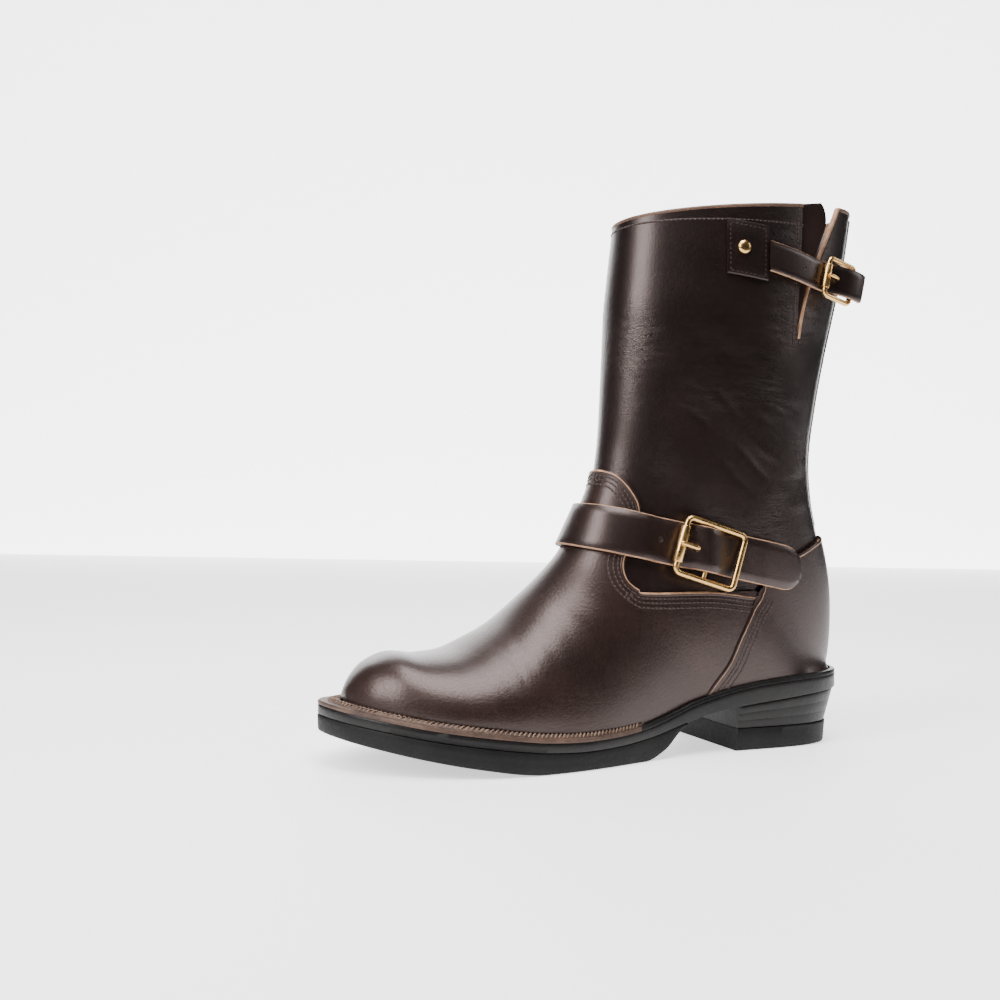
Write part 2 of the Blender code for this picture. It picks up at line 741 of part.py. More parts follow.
# Instep strap: from the medial quarter round the front and through the buckle.
SLOPE = 0.185
BAND_RISE, BAND_DATUM = 127.5 * MM, 171 * MM
BUCKLE_RUN = 102.5 * MM
BAR_RISE = 7.0 * MM


def band_point(phi, v, lift):
    """Point of the instep strap's path: v across it in metres, lift above the face."""
    return upper_point(*spin_place(phi, BAND_RISE + v, SLOPE, BAND_DATUM), lift)


def band_phi(run, side):
    """The angle at which the middle of the instep strap reaches this run."""
    low, high = 0.0, math.pi
    for _ in range(16):
        middle = (low + high) / 2
        if surface(*spin_place(side * middle, BAND_RISE, SLOPE, BAND_DATUM))[0] > run:
            low = middle
        else:
            high = middle
    return side * (low + high) / 2


# Height of the instep strap above the shaft, from the buckle on: over the counter, over the
# hidden bar of the buckle, down on the shaft, and over the tab of the vamp, in mm.
STRAP_LIFT = [
    # run from the buckle, height
    (-65.5, 3.2),
    (-40.5, 3.1),
    (-30.5, 2.4),
    (-15.5, 2.4),
    (0, 7.6),
    (14.5, 1.0),
    (24.5, 1.0),
    (35.5, 3.0),
    (47.5, 3.1),
]


def strap_lift(run):
    ahead = (run - BUCKLE_RUN) / MM
    return spline([r[0] for r in STRAP_LIFT], [r[1] for r in STRAP_LIFT], ahead) * MM


def band_station(phi, half, thick, lift, across=(-1.0, -0.35, 0.35, 1.0)):
    high = [band_point(phi, v * half, lift + thick) for v in across]
    low = [band_point(phi, v * half, lift) for v in across]
    return high, low


strap_half = STRAP_WIDTH / 2
rows = []
for run, width in ((37.5, 0.25), (40, 0.62), (44, 0.86), (50, 1.0)):
    rows.append(band_station(band_phi(run * MM, 1), strap_half * width, STRAP_THICK, strap_lift(run * MM)))
strap_steps = [-42.5, -34.5, -26.5, -19.5, -14.5, -10.5, -6.5, -3.5, 0]
strap_steps += [3.5, 6.5, 10.5, 14.5, 19.5, 24.5, 29.5, 35.5]
for step in strap_steps:
    run = BUCKLE_RUN + step * MM
    rows.append(band_station(band_phi(run, 1), strap_half, STRAP_THICK, strap_lift(run)))
phi_front = band_phi(BUCKLE_RUN + 42.5 * MM, 1)
phi_back = band_phi(80 * MM, -1)
for k in range(23):
    phi = phi_front + (phi_back - phi_front) * k / 22
    lift = 3.1 * MM + (0.6 * MM - 0.7 * MM * max(k - 15, 0) / 7 if k > 2 else 0.0)
    rows.append(band_station(phi, strap_half, STRAP_THICK, lift))
strap_body("instep_strap", rows, SHAFT_BROWN)

# Anchor straps under it: one sewn at the medial quarter, one that holds the buckle.
rows = []
for run in (96, 90, 84, 78, 72, 66):
    rows.append(band_station(band_phi(run * MM, -1), strap_half * 0.92, 1.4 * MM, 1.6 * GAP))
strap_body("anchor_medial", rows, SHAFT_BROWN)
rows = []
for step in (-4.5, -10.5, -16.5, -22.5, -29.5, -36.5):
    run = BUCKLE_RUN + step * MM
    rows.append(band_station(band_phi(run, 1), strap_half * 0.9, 1.4 * MM, 1.6 * GAP))
strap_body("anchor_lateral", rows, SHAFT_BROWN)

# Instep buckle: frame with a centre bar, roller and prong.
BRASS = (0.6, 0.42, 0.16)
BUCKLE_RISE = BAND_RISE + SLOPE * (BUCKLE_RUN - BAND_DATUM)
seat = Seat(BUCKLE_RUN, BUCKLE_RISE, 16 * MM, 16 * SLOPE * MM, BAR_RISE)
tube_up = seat.out
frame_u, frame_v, bar = 18.6 * MM, 15.8 * MM, 1.75 * MM
buckle = tube("instep_buckle", frame_path(seat, frame_u, frame_v, 5 * MM), bar, True, BRASS)
tube_up = seat.way
bar_ends = [seat.at(0, -frame_v, -1.0 * MM), seat.at(0, frame_v, -1.0 * MM)]
centre_bar = tube("centre_bar", bar_ends, 1.3 * MM, False, BRASS)
parts.objects.unlink(centre_bar)
cutters.objects.link(centre_bar)
centre_bar.hide_render = True
centre_bar.display_type = "WIRE"
cut(buckle, centre_bar, "UNION")


def sleeve(name, start, end, inner, outer, colour, sides=14):
    """Tube with a hole through it."""
    ahead = (end - start) / np.linalg.norm(end - start)
    first = np.cross(ahead, tube_up)
    first = first / np.linalg.norm(first)
    second = np.cross(ahead, first)
    points, faces = [], []
    for centre, r in ((start, outer), (end, outer), (end, inner), (start, inner)):
        for k in range(sides):
            a = 2 * math.pi * k / sides
            points.append(centre + first * r * math.cos(a) + second * r * math.sin(a))
    for i in range(4):
        for k in range(sides):
            a, b = i * sides + k, i * sides + (k + 1) % sides
            c, d = (b + sides) % (4 * sides), (a + sides) % (4 * sides)
            faces.append((a, b, c, d))
    return solid(name, points, faces, colour, 0.3, 1.0)


tube_up = seat.out
roll = 10.4 * MM
sleeve(
    "instep_roller",
    seat.at(frame_u, -roll),
    seat.at(frame_u, roll),
    bar + 0.3 * MM,
    bar + 1.1 * MM,
    BRASS,
)
strap_top = strap_lift(BUCKLE_RUN + 10.5 * MM) + STRAP_THICK - BAR_RISE
tip_rise = bar + 1.1 * MM + 1.5 * MM
prong_path = [
    seat.at(8.6 * MM, 0, strap_top + 2.2 * MM),
    seat.at(10.4 * MM, 0, tip_rise - 0.1 * MM),
    seat.at(14 * MM, 0, tip_rise + 0.1 * MM),
    seat.at(frame_u, 0, tip_rise),
    seat.at(frame_u + 2.2 * MM, 0, tip_rise - 0.4 * MM),
]
tube_up = seat.across
prong_radius = [1.1 * MM, 1.4 * MM, 1.4 * MM, 1.3 * MM, 1.0 * MM]
tube("instep_prong", prong_path, prong_radius, False, BRASS)

# Cut the slit in the shaft, then set the gusset in it.
places = slit_places(SLIT, 0.0)
points = []
for out in (3 * MM, -5 * MM):
    for row in places:
        points += [upper_point(s, t, out) for s, t, _ in row]
    points += [upper_point(s, t, out) + np.array([0, 0, 12 * MM]) for s, t, _ in places[-1]]
slit = closed_grid("slit_cutter", points, len(places) + 1, 4, SHAFT_BROWN)
parts.objects.unlink(slit)
cutters.objects.link(slit)
slit.hide_render = True
slit.display_type = "WIRE"
cut(upper, slit)
places = slit_places(SLIT[1:], 0.45)
bows = [-0.5, -0.5, -0.5, -0.5, 0.2, 1.4, 2.2, 2.4]
for row, bow in zip(places, bows):
    for k, (s, t, _) in enumerate(row):
        row[k] = (s, t, (bow if k in (1, 2) else bows[0]) * MM)
patch("gusset", places, 0.0, -1.2 * MM, SHAFT_BROWN)

# Top strap: from its sewn patch over the slit, under the roller and over the hinge bar.
TOP_DATUM, TOP_RISE, TOP_SLOPE = 68 * MM, 280.7 * MM, 0.17
TOP_HUB = 66 * MM


def top_station(run, half, low_lift, thick):
    low_phi, high_phi = 0.0, math.pi
    for _ in range(16):
        phi = (low_phi + high_phi) / 2
        if surface(*spin_place(phi, TOP_RISE, TOP_SLOPE, TOP_DATUM, TOP_HUB))[0] > run:
            low_phi = phi
        else:
            high_phi = phi
    high, low = [], []
    for v in (-1.0, 0.0, 1.0):
        place = spin_place(phi, TOP_RISE + v * half, TOP_SLOPE, TOP_DATUM, TOP_HUB)
        low.append(upper_point(*place, low_lift))
        high.append(upper_point(*place, low_lift + thick))
    return high, low


top_half = TOP_STRAP_WIDTH / 2
top_seat = Seat(21.5 * MM, 272.8 * MM, 10 * MM, 10 * TOP_SLOPE * MM, 6.0 * MM)
rows = []
for run in (69.2, 62, 55, 48, 42, 36.5):
    rows.append(top_station(run * MM, top_half, 1.3 * MM, STRAP_THICK))
# Along the buckle: the way from its middle, and the height of the strap's lower face, in mm.
TOP_STRAP_END = [
    (9.5, -4.3),
    (6.5, -3.6),
    (3, -1.6),
    (-1, 0.4),
    (-5, 1.6),
    (-9, 2.1),
    (-13, 2.1),
    (-17.5, 1.4),
]
for u, w in TOP_STRAP_END:
    low = [top_seat.at(u * MM, v * top_half, w * MM) for v in (-1, 0, 1)]
    high = [top_seat.at(u * MM, v * top_half, w * MM + STRAP_THICK) for v in (-1, 0, 1)]
    rows.append((high, low))
strap_body("top_strap", rows, SHAFT_BROWN)

rows = []
for run in (95, 88.5, 82, 76, 69.8):
    high, low = [], []
    for v in (-15.5, -7, 0, 7, 15.5):
        place = place_on(run * MM, (283.6 + v + 0.1 * (run - 82)) * MM, 1)
        low.append(upper_point(*place, GAP + 0.1 * MM))
        high.append(upper_point(*place, GAP + 1.6 * MM))
    rows.append((high, low))
strap_body("strap_patch", rows, SHAFT_BROWN)

rivet_seat = Seat(85.5 * MM, 284.2 * MM, 6 * MM, 0.0, GAP * 2 + 1.6 * MM)
points, faces = [], []
for ring_radius, height in ((3.9, 0.0), (3.9, 0.6), (3.2, 1.6), (1.8, 2.3)):
    for k in range(16):
        a = 2 * math.pi * k / 16
        u, v = ring_radius * math.cos(a), ring_radius * math.sin(a)
        points.append(rivet_seat.at(u * MM, v * MM, height * MM))
for i in range(3):
    for k in range(16):
        a, b = 16 * i + k, 16 * i + (k + 1) % 16
        faces.append((a, b, b + 16, a + 16))
faces.append(tuple(range(16))[::-1])
faces.append(tuple(range(48, 64)))
solid("rivet", points, faces, BRASS, 0.3, 1.0)

tube_up = top_seat.out
top_u, top_v, top_bar = 10.6 * MM, 10.8 * MM, 1.5 * MM
tube("top_buckle", frame_path(top_seat, top_u, top_v, 3.5 * MM), top_bar, True, BRASS)
sleeve(
    "top_roller",
    top_seat.at(top_u, -7.0 * MM),
    top_seat.at(top_u, 7.0 * MM),
    top_bar + 0.3 * MM,
    top_bar + 0.9 * MM,
    BRASS,
)
top_tip = top_bar + 0.9 * MM + 1.2 * MM
tube_up = top_seat.across
tube(
    "top_prong",
    [
        top_seat.at(3.6 * MM, 0, 2.2 * MM),
        top_seat.at(6.0 * MM, 0, top_tip - 0.2 * MM),
        top_seat.at(top_u, 0, top_tip),
        top_seat.at(top_u + 1.6 * MM, 0, top_tip - 0.2 * MM),
    ],
    [0.8 * MM, 1.0 * MM, 1.0 * MM, 0.8 * MM],
    False,
    BRASS,
)
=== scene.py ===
import math

import bmesh
import bpy
import numpy as np
from mathutils import Matrix, Vector


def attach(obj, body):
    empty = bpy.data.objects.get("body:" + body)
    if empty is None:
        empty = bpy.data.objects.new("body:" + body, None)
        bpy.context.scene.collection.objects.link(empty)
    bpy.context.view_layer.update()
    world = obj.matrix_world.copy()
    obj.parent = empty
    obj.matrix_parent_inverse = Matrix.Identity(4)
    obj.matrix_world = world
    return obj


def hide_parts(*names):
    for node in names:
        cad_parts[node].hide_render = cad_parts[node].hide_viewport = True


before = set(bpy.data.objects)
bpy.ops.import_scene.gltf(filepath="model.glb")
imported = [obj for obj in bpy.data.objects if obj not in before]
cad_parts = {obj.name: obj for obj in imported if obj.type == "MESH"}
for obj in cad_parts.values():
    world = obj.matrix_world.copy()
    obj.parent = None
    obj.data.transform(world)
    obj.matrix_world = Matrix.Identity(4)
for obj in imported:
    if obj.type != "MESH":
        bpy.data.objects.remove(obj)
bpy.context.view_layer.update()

# Everything is drawn as in the CAD: "run" forward from the heel, "side" towards the
# wearer's left and "rise" up, then turned so that the toe points to -Y.
mm = 0.001
gap = 0.35 * mm
middleSide = 2.55 * mm
middleRun = 147.7 * mm
footShare = 0.86
soleBack = -7.5 * mm
soleFront = 311.2 * mm
footBack = -2.2 * mm
footFront = 297.7 * mm
heelBreast = 78 * mm
topLift = 12.8 * mm

# Half widths of the sole, the foot line and the heel that insets are measured against
soleHalf, footHalf, heelHalf = 50 * mm, 40 * mm, 37 * mm
footEase = 1.015  # the upper swells at least this much past the foot line

# Sole edge seen from above, heel to toe: run, and the edge to each side, in mm.
soleEdgeRows = [
    # run, lateral, medial
    (-7.5, 0.0, 0.0),
    (-6.5, 8.6, -8.4),
    (-3.5, 16.8, -16.4),
    (2.5, 24.6, -24.0),
    (11, 30.6, -29.6),
    (24, 35.0, -33.5),
    (44, 37.0, -34.8),
    (70, 37.2, -33.5),
    (98, 37.5, -29.8),
    (122, 40.0, -28.0),
    (146, 45.5, -31.5),
    (168, 51.5, -38.5),
    (190, 56.0, -46.0),
    (211, 58.0, -51.0),
    (231, 57.5, -53.0),
    (249, 54.0, -52.0),
    (266, 47.5, -48.5),
    (281, 39.0, -42.5),
    (293, 29.0, -34.5),
    (302, 18.5, -25.5),
    (308, 7.5, -16.0),
    (310.5, 0.0, -9.5),
    (311.2, -4.5, -4.5),
]

# Heights of the layers of the sole along the run, in mm.
soleRiseRows = [
    # run, midsole top, midsole bottom, outsole bottom
    (-8, 41.0, 33.0, 0.0),
    (25, 40.0, 31.0, 0.0),
    (50, 38.3, 28.6, 0.0),
    (78, 34.7, 25.6, 0.0),
    (98, 30.2, 22.4, 21.9),
    (110, 27.0, 19.6, 19.0),
    (118, 24.2, 17.6, 14.0),
    (128, 21.0, 15.0, 5.0),
    (142, 17.6, 12.4, 0.0),
    (160, 15.6, 10.6, 0.0),
    (180, 15.0, 10.0, 0.0),
    (208, 16.4, 11.4, 0.0),
    (216, 17.3, 12.3, 0.6),
    (239, 20.3, 15.3, 4.0),
    (262, 23.4, 18.4, 7.9),
    (285, 27.2, 22.2, 12.4),
    (312, 31.6, 26.6, 17.8),
]

# Sections of the upper from toe tip to collar, in mm. Each is a slice through a front or
# ridge point and a low point: on the foot the low point lies on the sole, behind the heel
# it climbs the back seam. Swell is the greatest half width, ridge the side of the ridge.
sectionRows = [
    # top run, top rise, low run, low rise, swell, ridge, front power, rear power, taper
    (296.5, 33.6, 296.9, 0.0, 3.4, -4.0, 1.0, 1.0, 0.0),
    (295.0, 39.0, 296.0, 0.0, 7.6, -4.0, 0.8, 1.0, 0.0),
    (290.5, 46.0, 292.5, 0.0, 15.0, -4.0, 0.75, 1.0, 0.0),
    (283.5, 52.0, 286.0, 0.0, 23.4, -4.0, 0.75, 1.0, 0.0),
    (272.0, 56.0, 275.5, 0.0, 32.6, -4.0, 0.78, 1.0, 0.0),
    (257.0, 54.8, 261.0, 0.0, 40.8, -4.0, 0.82, 1.0, 0.0),
    (239.5, 57.0, 245.0, 0.0, 46.2, -4.0, 0.9, 1.0, 0.0),
    (225.5, 63.6, 228.0, 0.0, 49.0, -4.0, 1.0, 1.0, 0.0),
    (210.3, 72.6, 208.0, 0.0, 49.2, -4.0, 1.05, 1.0, 0.0),
    (195.5, 86.0, 186.0, 0.0, 46.6, -3.5, 1.05, 1.0, 0.05),
    (181.5, 99.5, 162.0, 0.0, 42.8, -3.0, 1.05, 1.0, 0.1),
    (170.5, 112.5, 137.0, 0.0, 40.0, -2.0, 1.0, 1.0, 0.18),
    (163.8, 126.0, 110.0, 0.0, 38.6, -1.0, 0.95, 0.95, 0.22),
    (158.5, 139.0, 83.0, 0.0, 38.6, 0.0, 0.92, 0.9, 0.22),
    (154.0, 151.0, 56.0, 0.0, 39.0, 0.0, 0.92, 0.8, 0.24),
    (151.3, 163.0, 31.0, 0.0, 39.6, 0.0, 0.92, 0.7, 0.26),
    (149.8, 175.0, 11.0, 0.0, 40.4, 0.0, 0.92, 0.64, 0.28),
    (149.0, 187.0, -2.2, 0.0, 41.0, 0.0, 0.92, 0.62, 0.28),
    (148.5, 199.0, -3.2, 62.0, 41.6, 0.0, 0.92, 0.62, 0.28),
    (148.0, 211.0, -2.2, 83.0, 42.0, 0.0, 0.92, 0.64, 0.26),
    (147.5, 222.0, 1.8, 103.0, 42.3, 0.0, 0.92, 0.7, 0.22),
    (147.0, 233.0, 7.0, 121.0, 42.5, 0.0, 0.92, 0.78, 0.16),
    (146.5, 244.0, 12.2, 142.0, 42.8, 0.0, 0.92, 0.86, 0.1),
    (146.0, 255.0, 14.4, 168.0, 43.2, 0.0, 0.92, 0.9, 0.05),
    (145.0, 265.0, 11.4, 197.0, 43.6, 0.0, 0.92, 0.9, 0.0),
    (144.0, 275.0, 5.0, 230.0, 44.0, 0.0, 0.92, 0.9, 0.0),
    (143.0, 285.0, -2.2, 260.0, 44.2, 0.0, 0.92, 0.9, 0.0),
    (142.0, 294.0, -9.0, 290.0, 44.2, 0.0, 0.92, 0.9, 0.0),
    (141.2, 303.0, -14.0, 321.0, 43.8, 0.0, 0.92, 0.9, 0.0),
]

# Upper edge of the vamp seen from the side: front tab, the notch at the shaft, then the
# long edge back to the counter, in mm.
vampEdgeRows = [
    (175, 159.5),
    (151.5, 158.5),
    (146.5, 155.5),
    (141, 147),
    (138, 137.5),
    (140, 125),
    (147.5, 112),
    (150, 104),
    (148.5, 97),
    (143, 92.3),
    (135, 90.4),
    (66.5, 91.6),
]

# Front edge of the counter from its corner down to the sole, in mm.
counterEdgeRows = [
    (65, 92.2),
    (69.6, 85),
    (72.6, 75.6),
    (78.6, 62.8),
    (85, 49.6),
    (97.5, 33),
    (104, 15),
]


# Smooth curve through the points that never overshoots them
def spline(xs, ys, x):
    xs = np.asarray(xs, float)
    ys = np.asarray(ys, float)
    steps = np.diff(xs)
    rates = np.diff(ys) / steps
    slopes = np.zeros(len(xs))
    for i in range(1, len(xs) - 1):
        a, b = rates[i - 1], rates[i]
        if a * b > 0:
            w1 = 2 * steps[i] + steps[i - 1]
            w2 = steps[i] + 2 * steps[i - 1]
            slopes[i] = (w1 + w2) / (w1 / a + w2 / b)
    slopes[0] = rates[0]
    slopes[-1] = rates[-1]
    i = int(np.clip(np.searchsorted(xs, x) - 1, 0, len(xs) - 2))
    h = steps[i]
    u = min(max((x - xs[i]) / h, 0.0), 1.0)
    value = ys[i] * (1 + 2 * u) * (1 - u) ** 2 + ys[i + 1] * u * u * (3 - 2 * u)
    return value + h * (slopes[i] * u * (1 - u) ** 2 - slopes[i + 1] * u * u * (1 - u))


# Smooth curve through evenly spaced rows, for all the columns at once
def through(rows, x):
    rows = np.asarray(rows, float)
    last = len(rows) - 1
    x = min(max(x, 0.0), float(last))
    i = min(int(x), last - 1)
    u = x - i
    p1, p2 = rows[i], rows[i + 1]
    m1 = (p2 - rows[i - 1]) / 2 if i > 0 else p2 - p1
    m2 = (rows[i + 2] - p1) / 2 if i + 2 <= last else p2 - p1
    value = p1 * (1 + 2 * u) * (1 - u) ** 2 + p2 * u * u * (3 - 2 * u)
    return value + m1 * u * (1 - u) ** 2 - m2 * u * u * (1 - u)


# Height of a face of the sole at this run, with its column in soleRiseRows
def layerRise(column, run):
    return spline([r[0] for r in soleRiseRows], [r[column] for r in soleRiseRows], run / mm) * mm


edgeSteps = 440
edgeDense = np.array(
    [through(soleEdgeRows, i * (len(soleEdgeRows) - 1) / edgeSteps) for i in range(edgeSteps + 1)]
) * mm


# Run, centre and half width of the sole's edge at a share 0 to 1 of its stations
def soleEdge(share, inset=0.0):
    run, lateral, medial = through(soleEdgeRows, share * (len(soleEdgeRows) - 1)) * mm
    middle = (soleBack + soleFront) / 2
    halfLength = (soleFront - soleBack) / 2
    run = middle + (run - middle) * (1 - inset / halfLength)
    half = (lateral - medial) / 2 * (1 - inset / soleHalf)
    return run, (lateral + medial) / 2, half


# The same for the line where the upper stands on the midsole
def footLine(share, outset=0.0):
    run, centre, half = soleEdge(share)
    run = footBack + (run - soleBack) * (footFront - footBack) / (soleFront - soleBack)
    middle = (footBack + footFront) / 2
    run = middle + (run - middle) * (1 + 2 * outset / (footFront - footBack))
    return run, centre * footShare, half * footShare * (1 + outset / footHalf)


# Centre and half width of the foot line at this run
def footAt(run):
    share = (run - footBack) / (footFront - footBack)
    at = soleBack + min(max(share, 0.0), 1.0) * (soleFront - soleBack)
    lateral = np.interp(at, edgeDense[:, 0], edgeDense[:, 1])
    medial = np.interp(at, edgeDense[:, 0], edgeDense[:, 2])
    return (lateral + medial) / 2 * footShare, (lateral - medial) / 2 * footShare


def halfWidth(angle, swell, front, rear, taper):
    power = front if angle < math.pi / 2 else rear
    return swell * max(math.sin(angle), 0.0) ** power * (1 - taper * (1 - math.cos(angle)) / 2)


heelRow = 17.0  # the last section whose low point lies on the midsole
lastRow = float(len(sectionRows) - 1)


# The section rows with the foot's low points set on the midsole
def lowRows():
    rows = []
    for i, row in enumerate(sectionRows):
        row = list(row)
        if i <= heelRow:
            row[3] = (layerRise(1, row[2] * mm) + gap) / mm
        rows.append(row)
    return np.array(rows)


rowsSet = lowRows()


# Section values at s rows from the toe: the points, and the angle of its low end
def section(s):
    row = through(rowsSet, s)
    top = np.array([row[0], row[1]]) * mm
    low = np.array([row[2], row[3]]) * mm
    swell = row[4] * mm
    if s < heelRow:
        low[1] = layerRise(1, low[0]) + gap
        centre, half = footAt(low[0])
    else:
        centre, half = 0.0, 0.0
    swell = max(swell, half * footEase)
    lowest, highest = math.pi / 2, math.pi
    for _ in range(30):
        middle = (lowest + highest) / 2
        if halfWidth(middle, swell, row[6], row[7], row[8]) > half:
            lowest = middle
        else:
            highest = middle
    return top, low, swell, row[5] * mm, centre, row[6], row[7], row[8], (lowest + highest) / 2


# Edge of a heel layer, drawn in at the sides and more at the back
def heelEdge(sideIn, backIn):
    def edge(share):
        run, centre, half = soleEdge(share)
        run = heelBreast + (run - heelBreast) * (1 - backIn / (heelBreast - soleBack))
        return run, centre, half * (1 - sideIn / heelHalf)
    return edge


# Dense lookup of the upper's outer face: rows s, columns a from -1 medial to 1 lateral.
gridRows = 1121
gridCols = 241
rowOf = np.linspace(0, lastRow, gridRows)
colOf = np.linspace(-1, 1, gridCols)
skinTop = np.zeros((gridRows, 2))
skinLow = np.zeros((gridRows, 2))
skinEnd = np.zeros(gridRows)
skinPoint = np.zeros((gridRows, gridCols, 3))
for i, s in enumerate(rowOf):
    top, low, swell, ridge, centre, front, rear, taper, end = section(float(s))
    angle = np.abs(colOf) * end
    u = (1 - np.cos(angle)) / (1 - np.cos(end))
    power = np.where(angle < math.pi / 2, front, rear)
    width = swell * np.maximum(np.sin(angle), 0) ** power * (1 - taper * (1 - np.cos(angle)) / 2)
    skinPoint[i, :, 0] = top[0] + (low[0] - top[0]) * u
    skinPoint[i, :, 1] = ridge * (1 - u) + centre * u + np.sign(colOf) * width
    skinPoint[i, :, 2] = top[1] + (low[1] - top[1]) * u
    skinTop[i], skinLow[i], skinEnd[i] = top, low, end
heelIndex = int(np.searchsorted(rowOf, heelRow))

# The change of row kind at the heel is smoothed into the faces beside it
heelSmooth = {"reach": 130, "full": 1.6, "edge": 24, "steps": (14, 8, 4), "passes": 12}
away = np.abs(np.arange(gridRows) - heelIndex) / heelSmooth["reach"]
near = np.clip(heelSmooth["full"] * (1 - away), 0, 1)
near = (near * near * (3 - 2 * near))[:, None] * (1 - np.abs(colOf) ** heelSmooth["edge"])[None, :]
smooth = skinPoint.copy()
for step in heelSmooth["steps"]:
    for _ in range(heelSmooth["passes"]):
        smooth[step:-step] = (smooth[:-2 * step] + 2 * smooth[step:-step] + smooth[2 * step:]) / 4
skinPoint += (smooth - skinPoint) * near[..., None]
alongRow = np.zeros_like(skinPoint)
alongRow[:heelIndex] = np.gradient(skinPoint[:heelIndex], axis=0)
alongRow[heelIndex:] = np.gradient(skinPoint[heelIndex:], axis=0)
acrossRow = np.gradient(skinPoint, axis=1)
wrapped = (skinPoint[heelIndex:, 1] - skinPoint[heelIndex:, -2]) / 2
acrossRow[heelIndex:, 0] = wrapped
acrossRow[heelIndex:, -1] = wrapped
skinNormal = np.cross(acrossRow, alongRow)
skinNormal /= np.linalg.norm(skinNormal, axis=2, keepdims=True) + 1e-12


# Values of a dense grid at the places (s, a)
def look(values, s, a):
    x = np.clip(np.asarray(s, float) / lastRow, 0, 1) * (gridRows - 1)
    y = (np.clip(np.asarray(a, float), -1, 1) + 1) / 2 * (gridCols - 1)
    i = np.minimum(x.astype(int), gridRows - 2)
    j = np.minimum(y.astype(int), gridCols - 2)
    u, v = (x - i)[..., None], (y - j)[..., None]
    low = values[i, j] * (1 - v) + values[i, j + 1] * v
    high = values[i + 1, j] * (1 - v) + values[i + 1, j + 1] * v
    return low * (1 - u) + high * u


# Points at the places (s, a), moved out along the face
def onSkin(s, a, out=0.0):
    normal = look(skinNormal, s, a)
    normal = normal / np.linalg.norm(normal, axis=-1, keepdims=True)
    return look(skinPoint, s, a) + normal * np.asarray(out, float)[..., None]


# The places (s, a) of spots seen from the side, on the lateral (1) or medial (-1) face
def placeOn(run, rise, side=1):
    spot = np.stack([np.atleast_1d(run), np.atleast_1d(rise)], axis=1).astype(float)
    way = skinLow - skinTop
    found = np.zeros((len(spot), 2))
    for k, p in enumerate(spot):
        turn = way[:, 0] * (p[1] - skinTop[:, 1]) - way[:, 1] * (p[0] - skinTop[:, 0])
        past = np.nonzero(turn > 0)[0]
        i = int(past[0]) if len(past) else gridRows - 1
        i = max(i, 1)
        share = turn[i - 1] / (turn[i - 1] - turn[i]) if turn[i] != turn[i - 1] else 0.0
        share = min(max(share, 0.0), 1.0)
        s = rowOf[i - 1] + (rowOf[i] - rowOf[i - 1]) * share
        top = skinTop[i - 1] + (skinTop[i] - skinTop[i - 1]) * share
        low = skinLow[i - 1] + (skinLow[i] - skinLow[i - 1]) * share
        end = skinEnd[i - 1] + (skinEnd[i] - skinEnd[i - 1]) * share
        u = np.dot(p - top, low - top) / np.dot(low - top, low - top)
        u = min(max(u, 0.0), 1.0)
        found[k] = s, side * math.acos(1 - u * (1 - math.cos(end))) / end
    return found[:, 0], found[:, 1]


spinFrom = 8  # the rows before this one lie in front of the shaft


# The places where a sloping level crosses the face, at angles phi round an upright axis
def spinPlace(phi, rise, slope, datum, hub):
    phi, rise = np.broadcast_arrays(np.asarray(phi, float), np.asarray(rise, float))
    found = np.zeros((phi.size, 2))
    first = int(spinFrom / lastRow * (gridRows - 1))
    middle = gridCols // 2
    block = skinPoint[first:, middle:]
    spun = np.arctan2(np.abs(block[:, :, 1]), block[:, :, 0] - hub)
    back = skinPoint[first:, middle::-1]
    spunBack = np.arctan2(np.abs(back[:, :, 1]), back[:, :, 0] - hub)
    for k, (p, z) in enumerate(zip(phi.ravel(), rise.ravel())):
        angles, points = (spun, block) if p >= 0 else (spunBack, back)
        j = np.clip((angles < abs(p)).sum(axis=1), 1, middle)
        rows = np.arange(len(angles))
        low, high = angles[rows, j - 1], angles[rows, j]
        share = np.clip((abs(p) - low) / np.maximum(high - low, 1e-9), 0, 1)
        at = points[rows, j - 1] * (1 - share)[:, None] + points[rows, j] * share[:, None]
        level = at[:, 2] - slope * (at[:, 0] - datum)
        i = int(np.clip(np.searchsorted(level, z), 1, len(level) - 1))
        part = min(max((z - level[i - 1]) / max(level[i] - level[i - 1], 1e-9), 0), 1)
        a = (j - 1 + share) / middle
        found[k, 0] = rowOf[first + i - 1] * (1 - part) + rowOf[first + i] * part
        found[k, 1] = (a[i - 1] * (1 - part) + a[i] * part) * (1 if p >= 0 else -1)
    return found[:, 0].reshape(phi.shape), found[:, 1].reshape(phi.shape)


# Smooth dense line through a few seen points, as rows of (run, rise) in mm
def denseLine(rows, steps=24):
    last = len(rows) - 1
    return np.array([through(rows, i / steps) for i in range(last * steps + 1)])


# Places along a line evenly spaced by its true length on the face
def evenPlaces(s, a, spacing, start=0.0, stop=0.0):
    points = onSkin(s, a)
    steps = np.linalg.norm(np.diff(points, axis=0), axis=1)
    length = np.concatenate([[0], np.cumsum(steps)])
    count = max(int((length[-1] - start - stop) / spacing), 2)
    at = np.linspace(start, length[-1] - stop, count + 1)
    return np.interp(at, length, s), np.interp(at, length, a)


probeS, probeA = 0.02, 0.008  # small steps of s and a that feel the face's slope


